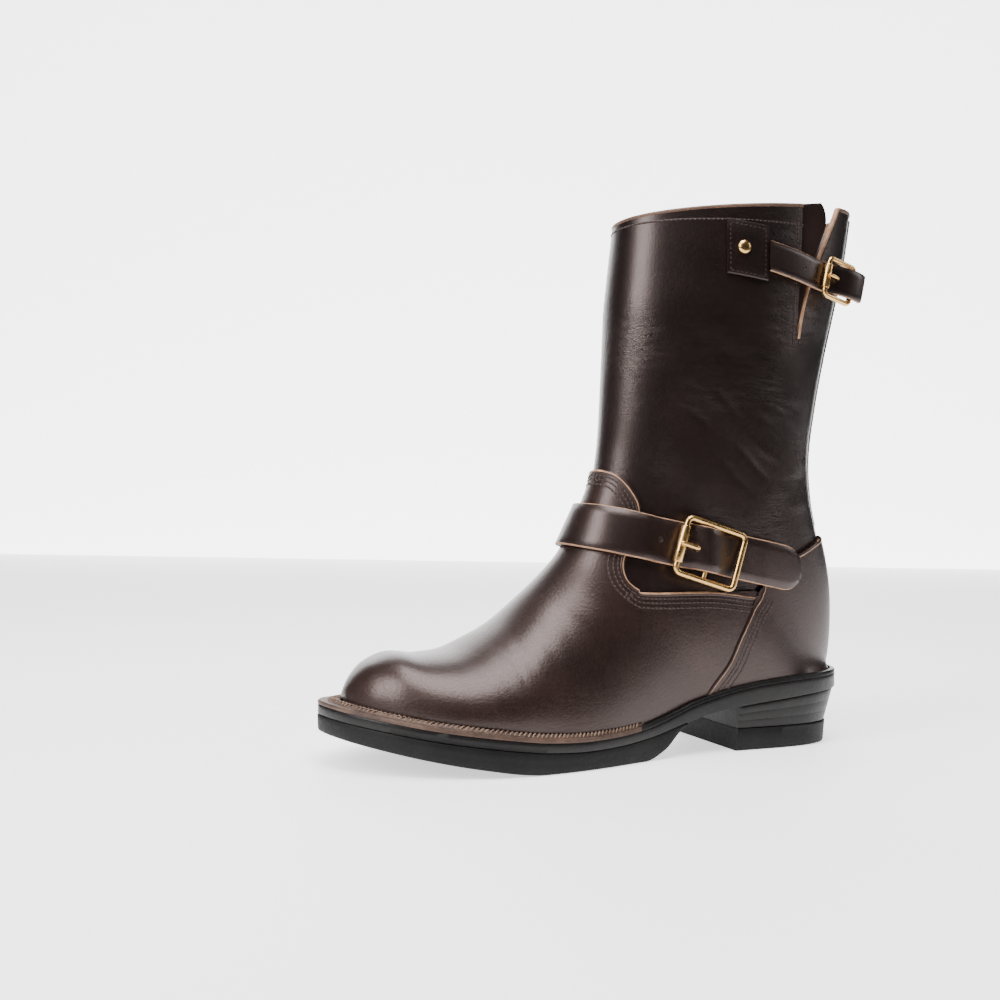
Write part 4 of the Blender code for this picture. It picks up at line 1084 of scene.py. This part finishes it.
for k in range(1, strap["medialRows"] + 1):
    share = k / strap["medialRows"]
    span = share * strap["spans"]
    bow, settle = min(span / strap["bowOver"], 1), max(span - strap["settleFrom"], 0) / strap["settleOver"]
    stand = strap["lift"] + strap["bow"] * bow - strap["settle"] * settle
    rows.append(strapRow(instepLine, phiFront + (phiBack - phiFront) * share, strap["half"],
                         strap["thick"], stand * mm))
strapShape("instepStrap", rows, "instep_strap")
anchor = {"half": 12, "thick": 1.4, "lift": 0.55, "rows": 26}
for name, node, way, runs in (("anchorMedial", "anchor_medial", medialWay, (97, 66)),
                              ("anchorLateral", "anchor_lateral", lateralWay, (98, 66))):
    strapShape(name, [strapRow(instepLine, phiAt(way, run * mm), anchor["half"], anchor["thick"],
                               anchor["lift"] * mm) for run in np.linspace(*runs, anchor["rows"])], node)


# Flat place for a fitting: a spot on the face, the way along, across and outward. It can
# lean outward about a hinge line, which lies so far along.
class Seat:
    def __init__(self, run, rise, slope, lift=0.0, lean=0.0, hinge=0.0, reach=16):
        runs, rises = np.array([0, 0.5, -0.5]) * reach, np.array([0, 0.5, -0.5]) * reach * slope
        s, a = placeOn((run + runs) * mm, (rise + rises) * mm, 1)
        spots = onSkin(s, a)
        out = onSkin(s[:1], a[:1], 1.0)[0] - spots[0]
        out /= np.linalg.norm(out)
        way = spots[1] - spots[2]
        way = way - out * np.dot(way, out)
        way /= np.linalg.norm(way)
        self.across = np.cross(out, way)
        if self.across[2] < 0:
            self.across = -self.across
        self.way = way * math.cos(lean) - out * math.sin(lean)
        self.out = out * math.cos(lean) + way * math.sin(lean)
        self.origin = spots[0] + (out * lift + (way - self.way) * hinge) * mm

    # Spot so far along, across and out, in mm
    def at(self, u, v, w=0.0):
        return self.origin + (self.way * u + self.across * v + self.out * w) * mm


# Round bar along points, each with its radius in mm
def bar(path, radius, up, closed=False, sides=20):
    rows = []
    count = len(path)
    for i, centre in enumerate(path):
        if closed:
            ahead = path[(i + 1) % count] - path[i - 1]
        else:
            ahead = path[min(i + 1, count - 1)] - path[max(i - 1, 0)]
        ahead = ahead / np.linalg.norm(ahead)
        first = np.cross(ahead, up)
        first /= np.linalg.norm(first)
        second = np.cross(ahead, first)
        r = (radius[i] if isinstance(radius, (list, np.ndarray)) else radius) * mm
        angles = 2 * math.pi * np.arange(sides) / sides
        rows.append([centre + (first * math.cos(t) + second * math.sin(t)) * r for t in angles])
    return sweep(rows, closed)


def roundedFrame(seat, halfU, halfV, corner, steps=9):
    path = []
    for cu, cv, start in ((1, 1, 0), (-1, 1, 90), (-1, -1, 180), (1, -1, 270)):
        for k in range(steps + 1):
            t = math.radians(start + 90 * k / steps)
            path.append(seat.at(cu * (halfU - corner) + corner * math.cos(t),
                                cv * (halfV - corner) + corner * math.sin(t)))
    return path


# Buckle with its roller and prong, from sizes in mm; the prong is rows of along, out, radius
rollerEnd = [(0.0, 0.7), (0.15, 0.2), (0.6, 0.0)]


def buckle(name, seat, size, nodes):
    heap = Heap()
    heap.add(*bar(roundedFrame(seat, size["u"], size["v"], size["corner"]), size["bar"], seat.out, True))
    if size["centre"]:
        heap.add(*bar([seat.at(0, -size["v"], -1), seat.at(0, size["v"], -1)], size["centre"], seat.way))
    shape(name + "Frame", heap.body(), [brass], [nodes[0]])
    roll, outer = size["roll"], size["bar"] + size["skin"]
    half = [(-roll + d, outer - r) for d, r in rollerEnd]
    line = half + [(0, outer)] + [(-v, r) for v, r in half[::-1]]
    body = bar([seat.at(size["u"], v) for v, _ in line], [r for _, r in line], seat.out, False, 28)
    shape(name + "Roller", body, [brass], [nodes[1]])
    path = denseLine(size["prong"], 6)
    body = bar([seat.at(u, 0, w) for u, w, _ in path], [q[2] for q in path], seat.across)
    shape(name + "Prong", body, [brass], [nodes[2]])


slope, frameLift = instepLine["slope"], 7.0
buckleRise = instepLine["rise"] + slope * (buckleRun - instepLine["datum"])
mainSeat = Seat(buckleRun / mm, buckleRise / mm, slope, frameLift)
strapTop = strapLift(113 * mm) / mm + strap["thick"] - frameLift
instepBuckle = {"u": 18.6, "v": 15.8, "corner": 3.4, "bar": 1.75, "centre": 1.3, "roll": 10.4, "skin": 1.1}
tipRise = instepBuckle["bar"] + instepBuckle["skin"] + 1.5
instepBuckle["prong"] = [
    (7.6, strapTop + 0.6, 1.0), (8.6, strapTop + 2.2, 1.3), (10.4, tipRise - 0.2, 1.4),
    (14, tipRise + 0.1, 1.4), (18.6, tipRise, 1.3), (20.8, tipRise - 0.4, 1.0), (21.4, tipRise - 0.6, 0.5),
]
buckle("instepBuckle", mainSeat, instepBuckle, ["instep_buckle", "instep_roller", "instep_prong"])
topBuckle = {"u": 10.6, "v": 10.8, "corner": 2.6, "bar": 1.5, "centre": 0, "roll": 7.0, "skin": 0.9}
topSeat = Seat(21.5, 272.8, 0.17, 6.0, math.radians(14), topBuckle["u"], 10)
tipRise = topBuckle["bar"] + topBuckle["skin"] + 1.2
topBuckle["prong"] = [
    (3.2, 1.6, 0.7), (3.9, 2.4, 0.9), (6.0, tipRise - 0.2, 1.0), (10.6, tipRise, 1.0),
    (12.0, tipRise - 0.2, 0.8), (12.5, tipRise - 0.3, 0.4),
]
buckle("topBuckle", topSeat, topBuckle, ["top_buckle", "top_roller", "top_prong"])

# Top strap: on the shaft up to the buckle, then through it by the seat's along and out
topLine = {"rise": 280.7 * mm, "datum": 68 * mm, "slope": 0.17, "hub": 66 * mm}
topWay = lineWay(topLine, 1, 160)
topStrap = {
    "half": 8.5, "thick": 2.0, "lift": 1.3, "from": 69.2, "to": 36.5, "rows": 24,
    "end": [(9.5, -4.3), (6.5, -3.6), (3, -1.6), (-1, 0.4), (-5, 1.6), (-9, 2.1), (-13, 2.1), (-17.5, 1.4)],
    "corners": (0.985, 0.93),
}


def topRow(run, half):
    return strapRow(topLine, phiAt(topWay, run * mm), half, topStrap["thick"], topStrap["lift"] * mm)


rows = [topRow(run, topStrap["half"])
        for run in np.linspace(topStrap["from"], topStrap["to"], topStrap["rows"])]
endLine = denseLine(topStrap["end"], 5)
widths = [1.0] * (len(endLine) - 2) + list(topStrap["corners"])
for (u, w), wide in zip(endLine, widths):
    rows.append([topSeat.at(u, v * topStrap["half"] * wide, w + h * topStrap["thick"])
                 for v, h, _ in strapSection])
strapShape("topStrap", rows, "top_strap")

# Patch that holds the strap at the collar, with its rivet; profiles in mm
patch = {
    "from": 95, "to": 69.8, "rows": 22, "rise": 283.6, "slope": 0.1, "datum": 82,
    "profile": [(-15.5, 0.1), (-15.5, 1.2), (-14.9, 1.6), (-7, 1.6), (0, 1.6), (7, 1.6), (14.9, 1.6),
                (15.5, 1.2), (15.5, 0.1), (0, 0.1)],
}
across, high = (np.array([q[k] for q in patch["profile"]]) for k in (0, 1))
rows = []
for run in np.linspace(patch["from"], patch["to"], patch["rows"]):
    rise = patch["rise"] + across + patch["slope"] * (run - patch["datum"])
    s, a = placeOn(np.full(len(rise), run * mm), rise * mm, 1)
    rows.append(list(onSkin(s, a, gap + high * mm)))
shape("strapPatch", sweep(rows), [shaftLeather], ["strap_patch"], None, 60)
rivet = {
    "run": 85.5, "rise": 284.2, "lift": 2.3, "sides": 32,
    "profile": [(3.9, 0.0), (3.95, 0.3), (3.8, 0.8), (3.3, 1.5), (2.4, 2.05), (1.2, 2.3), (0.2, 2.35)],
}
rivetSeat = Seat(rivet["run"], rivet["rise"], 0.0, rivet["lift"], reach=6)
angles = 2 * math.pi * np.arange(rivet["sides"]) / rivet["sides"]
rows = [[rivetSeat.at(radius * math.cos(t), radius * math.sin(t), height) for t in angles]
        for radius, height in rivet["profile"]]
shape("rivet", sweep(rows), [brass], ["rivet"])
print("straps and buckles made")

# Profile across the gusset, from the front edge of the slit to its rear edge: share, bulge
# and fold in mm at the collar, and how far the top edge lies below the collar
gusset = {
    "thick": 1.2, "rows": 44, "cols": 41, "foot": 246.5, "top": 320.0, "inset": 0.45, "sunk": -0.5,
    "bulging": 1.3,
    "profile": [
        (0.0, 0.0, 0.0), (0.10, 1.0, 0.4), (0.20, 2.6, 1.6), (0.30, 4.6, 4.0), (0.40, 6.6, 8.0),
        (0.50, 8.2, 14.0), (0.58, 8.4, 20.0), (0.66, 5.5, 26.0), (0.76, -1.0, 30.0),
        (0.88, -5.0, 28.0), (1.0, -1.4, 18.0),
    ],
}
slitAbove = (330, 44.2, 6.0)
slitRises, slitFronts, slitRears = zip(*slitRows, slitAbove)
fold = denseLine(gusset["profile"], 8)
u = np.linspace(0, 1, gusset["cols"])
bulge, drop = (np.interp(u, fold[:, 0], fold[:, k]) for k in (1, 2))
rows = []
for v in np.linspace(0, 1, gusset["rows"]):
    z = gusset["foot"] + (gusset["top"] - drop - gusset["foot"]) * v
    high = (z - gusset["foot"]) / (gusset["top"] - gusset["foot"])
    front = np.interp(z, slitRises, slitFronts) - gusset["inset"]
    rear = np.interp(z, slitRises, slitRears) + gusset["inset"]
    s, a = placeOn((front * (1 - u) + rear * u) * mm, z * mm, 1)
    lift = gusset["sunk"] + bulge * high ** gusset["bulging"]
    back = onSkin(s, a, (lift - gusset["thick"]) * mm)
    rows.append(list(onSkin(s, a, lift * mm)) + list(back[::-1]))
points, faces = sweep(rows)
picks = [int(k % (2 * gusset["cols"]) == gusset["cols"] - 1) for k in range(len(faces))]
picks[-1] = 1
shape("gusset", (points, faces), [strapLeather, rawEdge], ["gusset"], picks, 60)

# Raw edge of the rear flap along the slit
flap = {
    "line": [(44.6, 237), (43.4, 247), (41.0, 258), (38.0, 268), (33.0, 280), (27.0, 292),
             (21.0, 303), (16.0, 312), (12.6, 319)],
    "profile": [(0.1, -2.2), (-0.3, -1.2), (-0.25, 0.2), (0.35, 0.75), (1.3, 0.6), (1.9, 0.02)],
}
flapEdge = Heap()
s, a = evenPlaces(*seenLine(denseLine(flap["line"], 10)), ribbonPitch * mm)
edgeRibbon(s, a, -1, flap["profile"], flapEdge, [0, 0, 0, 0, 1])
shape("flapEdge", flapEdge.body(), [rawEdge, shaftLeather], (), flapEdge.picks, 60)

# Back stay: from row to row up the back seam, with its profile as column and height in mm
stay = {
    "from": 21.3, "to": 27.9, "rows": 60,
    "profile": [(-0.9, 0.3), (-0.905, 1.3), (-0.95, 1.6), (-1.0, 1.65), (0.95, 1.6), (0.905, 1.3),
                (0.9, 0.3)],
}
cols, high = (np.array([q[k] for q in stay["profile"]]) for k in (0, 1))
points = np.concatenate([onSkin(np.full(len(cols), s), cols, high * mm)
                         for s in np.linspace(stay["from"], stay["to"], stay["rows"])])
shape("backStay", (points, gridQuads(stay["rows"], len(cols))), [shaftLeather],
      ["back_stay"], None, 60)

# Collar binding: rolled over the top edge from one side of the slit to the other; its
# profile as out and up in mm from the middle of the wall
collar = {
    "front": (44.6, 319.5), "rear": (13, 317), "rows": (110, 12), "below": 0.02, "middle": -1.1,
    "profile": [(1.0, -1.7), (1.35, -1.5), (1.45, -0.5), (1.1, 0.2), (0.0, 0.5), (-1.1, 0.2),
                (-1.45, -0.5), (-1.4, -1.6), (-1.0, -1.8)],
}
_, ends = seenLine(np.array([collar["front"], collar["rear"]]))
collarStart, collarEnd = float(ends[0]), float(ends[1])
rows = []
way = np.concatenate([np.linspace(collarStart, -1, collar["rows"][0]),
                      np.linspace(1, collarEnd, collar["rows"][1])])
for a in way:
    place = np.array([lastRow - collar["below"]]), np.array([a])
    mid = onSkin(*place, collar["middle"] * mm)[0]
    out = onSkin(*place, 1.0)[0] - onSkin(*place)[0]
    out[2] = 0
    out /= np.linalg.norm(out)
    rows.append([mid + (out * w + np.array([0, 0, z])) * mm for w, z in collar["profile"]])
shape("collarBinding", sweep(rows), [collarEdge], (), None, 60)
print("gusset, stay and collar made")

# Row of short threads along even places: each lies in its own small dip of the leather
threadRings = [(-1.0, 0.35), (-0.72, 0.85), (0.0, 1.0), (0.72, 0.85), (1.0, 0.35)]
threadSides = 8


def threadRow(heap, s, a, out, pitch, size):
    s, a = evenPlaces(s, a, pitch * mm, pitch / 2 * mm, pitch / 2 * mm)
    points = onSkin(s, a, out * mm + creased(look(skinPoint, s, a)))
    ways = np.gradient(points, axis=0)
    length, wide, high = size
    angles = 2 * math.pi * np.arange(threadSides) / threadSides
    for at, way, up in zip(points, ways, look(skinNormal, s, a)):
        way = way / np.linalg.norm(way)
        side = np.cross(up, way)
        rings = []
        for u, r in threadRings:
            dip = -0.5 * u * u * high
            rings.append([at + (way * u * length / 2 + side * math.cos(t) * r * wide / 2
                                + up * (math.sin(t) * r * high / 2 + dip)) * mm for t in angles])
        heap.add(*sweep(rings))


# Row of threads in a soft channel a little wider than the thread, the channel a strip painted dark as
# shade; sizes in mm
stitch = {"size": (1.95, 0.95, 0.8), "pitch": 2.6, "spacing": 1.0, "end": 0.3, "lift": 0.08}
channel = [(-0.75, -0.12), (-0.5, 0.06), (0.5, 0.06), (0.75, -0.12)]


def stitchShape(name, rows):
    heap = Heap()
    for s, a, out in rows:
        end = stitch["end"] * mm
        s, a = evenPlaces(s, a, stitch["spacing"] * mm, end, end)
        edgeRibbon(s, a, 1, [(d, out + h) for d, h in channel], heap, [1, 1, 1])
        threadRow(heap, s, a, out + stitch["lift"], stitch["pitch"], stitch["size"])
    shape(name, heap.body(), [threadLook, channelShade], (), heap.picks, 60)


# Three rows beside each overlay's edge: how far in, and how high the overlay stands, in mm
overlayRows = {"vamp": ((3.0, 5.4, 8.2), 2.05), "counter": ((3.0, 5.2, 8.0), 2.55)}
rows = []
for way, key in ((wholeLine(vampTop), "vamp"), (wholeLine(counterLine, False), "counter")):
    insets, out = overlayRows[key]
    for s, a in way:
        s, a = evenPlaces(s, a, stitch["spacing"] * mm)
        side = 1 if key == "counter" and a[0] > 0 else -1
        for inset in insets:
            rows.append((*beside(s, a, side * inset * mm), out))
stitchShape("overlayStitches", rows)

# On the shaft: both sides of the slit, below the collar, and along the back stay
slitFront = denseLine([(48.5, 233), (48.4, 262), (48.0, 290), (47.2, 318)], 16)
slitBack = denseLine([(43.5, 234), (40.5, 252), (36.2, 266), (30.5, 280), (18, 303), (10, 317)], 12)
collarRow = {"below": 0.55, "count": 160}
stayRow = {"from": 21.6, "to": 27.3, "count": 60, "col": 0.915, "out": 1.35}
rows = [(*seenLine(slitFront), 0.0), (*seenLine(slitBack), 0.0)]
rows.append((np.full(collarRow["count"], lastRow - collarRow["below"]),
             np.linspace(collarStart + 0.01, -1, collarRow["count"]), 0.0))
for side in (1, -1):
    rows.append((np.linspace(stayRow["from"], stayRow["to"], stayRow["count"]),
                 np.full(stayRow["count"], side * stayRow["col"]), stayRow["out"]))
stitchShape("shaftStitches", rows)

threads = Heap()
patchStitch = {
    "lift": 1.6,
    "corners": [(93.2, 270.9), (71.8, 268.8), (71.8, 295.4), (93.2, 297.6), (93.2, 270.9)],
    "size": (1.5, 0.6, 0.5), "pitch": 2.5,
}
corners = np.array(patchStitch["corners"])
for start, end in zip(corners[:-1], corners[1:]):
    line = start + (end - start) * np.linspace(0, 1, 30)[:, None]
    out = gap / mm + patchStitch["lift"]
    threadRow(threads, *seenLine(line), out, patchStitch["pitch"], patchStitch["size"])
shape("patchStitches", threads.body(), [threadLook])

# Welt stitches: light thread, one after another in the groove beside the ridge
weltStitch = {
    "from": 10.2, "to": 21.89, "count": 74, "radii": [0.35, 0.5, 0.5, 0.35],
    "spots": ((0.46, 2.15), (0.6, 3.35), (0.74, 3.75), (0.88, 3.2)), "up": (1.0, 0.3, 0.1),
}
threads = Heap()
for side in (1, -1):
    for q in evenShares(weltStitch["from"], weltStitch["to"], weltStitch["count"]):
        spots = [rimSpot(q, side, welt["outset"], u, h) for u, h in weltStitch["spots"]]
        threads.add(*bar(spots, weltStitch["radii"], np.array(weltStitch["up"]), False, 8))
shape("weltStitches", threads.body(), [weltThread])
print("stitches made")

# Punched holes: a disc painted dark as the shade inside the hole, in a rim that stands just
# above the strap; rings of radius and height, as a share and in mm
hole = {
    "rings": ((1.4, -0.1), (1.2, 0.2), (1.02, 0.2), (0.94, 0.07), (0.02, 0.05)), "sides": 24, "rim": 2,
    "instep": (128.5, 111.0, 89.5), "instepRadius": 1.25, "top": 45, "topRadius": 1.0, "topLift": 0.06,
    "crown": 1.09, "lift": 0.05, "probe": 4,
}
holes = Heap()


def punched(place, out, up, radius):
    way = np.cross(out, up)
    way /= np.linalg.norm(way)
    sides, count = hole["sides"], len(hole["rings"])
    angles = 2 * math.pi * np.arange(sides) / sides
    points = [place + ((way * math.cos(t) + up * math.sin(t)) * r * radius + out * h) * mm
              for r, h in hole["rings"] for t in angles]
    rim = sides * hole["rim"]
    holes.add(points, gridQuads(count, sides, 0, True), [0] * rim + [1] * ((count - 1) * sides - rim))


for run in hole["instep"]:
    phi = phiAt(lateralWay, run * mm)
    place = onLine(instepLine, np.array([phi]))
    above = onLine(instepLine, np.array([phi]), hole["probe"] * mm)
    high = strapLift(run * mm) + (strap["thick"] * hole["crown"] + hole["lift"]) * mm
    at, out = onSkin(*place, high)[0], look(skinNormal, *place)[0]
    up = onSkin(*above, high)[0] - at
    up -= out * np.dot(up, out)
    punched(at, out, up / np.linalg.norm(up), hole["instepRadius"])
at = np.array(topRow(hole["top"], 0.1))[2:4].mean(0)
out = look(skinNormal, *placeOn([hole["top"] * mm], [at[2]], 1))[0]
punched(at + out * hole["topLift"] * mm, out, np.array([0, 0, 1.0]), hole["topRadius"])
shape("strapHoles", holes.body(), [strapLeather, holeShade], (), holes.picks, 60)
print("holes made")

# Pale floor and a pale wall behind, both a little bright by themselves; sizes in metres
studio = {
    "floor": {"size": 5, "place": (-2.05, 0.9, 0), "tone": 0.86, "rough": 0.6, "glow": 1.1},
    "wall": {"size": 4.2, "place": (-2.83, 1.07, 0.95), "tone": 0.9, "rough": 1.0, "glow": 4.2},
    "wallFacing": (0.93, -0.37, 0), "around": 0.05,
}


def sheet(name):
    plan = studio[name]
    material = bpy.data.materials.new(name + "Look")
    material.use_nodes = True
    shader = material.node_tree.nodes["Principled BSDF"]
    shader.inputs["Base Color"].default_value = (plan["tone"], plan["tone"], plan["tone"], 1)
    shader.inputs["Roughness"].default_value = plan["rough"]
    shader.inputs["Emission Color"].default_value = (1, 1, 1, 1)
    shader.inputs["Emission Strength"].default_value = plan["glow"]
    bpy.ops.mesh.primitive_plane_add(size=plan["size"], location=plan["place"])
    obj = bpy.context.object
    obj.name = name
    obj.data.materials.append(material)
    return obj


floor, wall = sheet("floor"), sheet("wall")
wall.rotation_euler = Vector(studio["wallFacing"]).to_track_quat("Z", "Y").to_euler()
world = bpy.data.worlds.new("studio")
bpy.context.scene.world = world
world.use_nodes = True
world.node_tree.nodes["Background"].inputs["Color"].default_value = (1, 1, 1, 1)
world.node_tree.nodes["Background"].inputs["Strength"].default_value = studio["around"]


# Soft lights, with the power in watts
lights = {
    "keyLight": {"place": (0.35, -1.35, 1.0), "aim": (0, -0.05, 0.15), "size": (0.7, 1.1), "power": 34},
    "sideLight": {"place": (0.55, 1.5, 0.9), "aim": (0, 0, 0.2), "size": (0.4, 0.8), "power": 5},
    "topLight": {"place": (0.22, -0.12, 1.45), "aim": (0, 0, 0.05), "size": (0.9, 1.2), "power": 42},
}
for name, light in lights.items():
    data = bpy.data.lights.new(name, "AREA")
    data.shape = "RECTANGLE"
    data.size, data.size_y = light["size"]
    data.energy = light["power"]
    obj = bpy.data.objects.new(name, data)
    bpy.context.scene.collection.objects.link(obj)
    obj.location = light["place"]
    way = Vector(light["aim"]) - Vector(light["place"])
    obj.rotation_euler = way.to_track_quat("-Z", "Y").to_euler()

# Camera where the photo was taken from: low, near, and a little ahead of the boot's side
camera = {
    "place": (0.5667, -0.2936, 0.128), "turn": 21.95, "lens": 39.908, "shiftY": 0.0229, "roll": 0.92,
    "film": 36, "near": 0.01,
}
data = bpy.data.cameras.new("camera")
data.sensor_width = camera["film"]
data.lens = camera["lens"]
data.shift_y = camera["shiftY"]
data.clip_start = camera["near"]
cameraObject = bpy.data.objects.new("camera", data)
bpy.context.scene.collection.objects.link(cameraObject)
turn = math.radians(camera["turn"])
aim = Vector((-math.cos(turn), math.sin(turn), 0))
facing = aim.to_track_quat("-Z", "Y").to_matrix().to_4x4()
facing = facing @ Matrix.Rotation(math.radians(camera["roll"]), 4, "Z")
cameraObject.matrix_world = Matrix.Translation(camera["place"]) @ facing
bpy.context.scene.camera = cameraObject
print("camera and lights made")
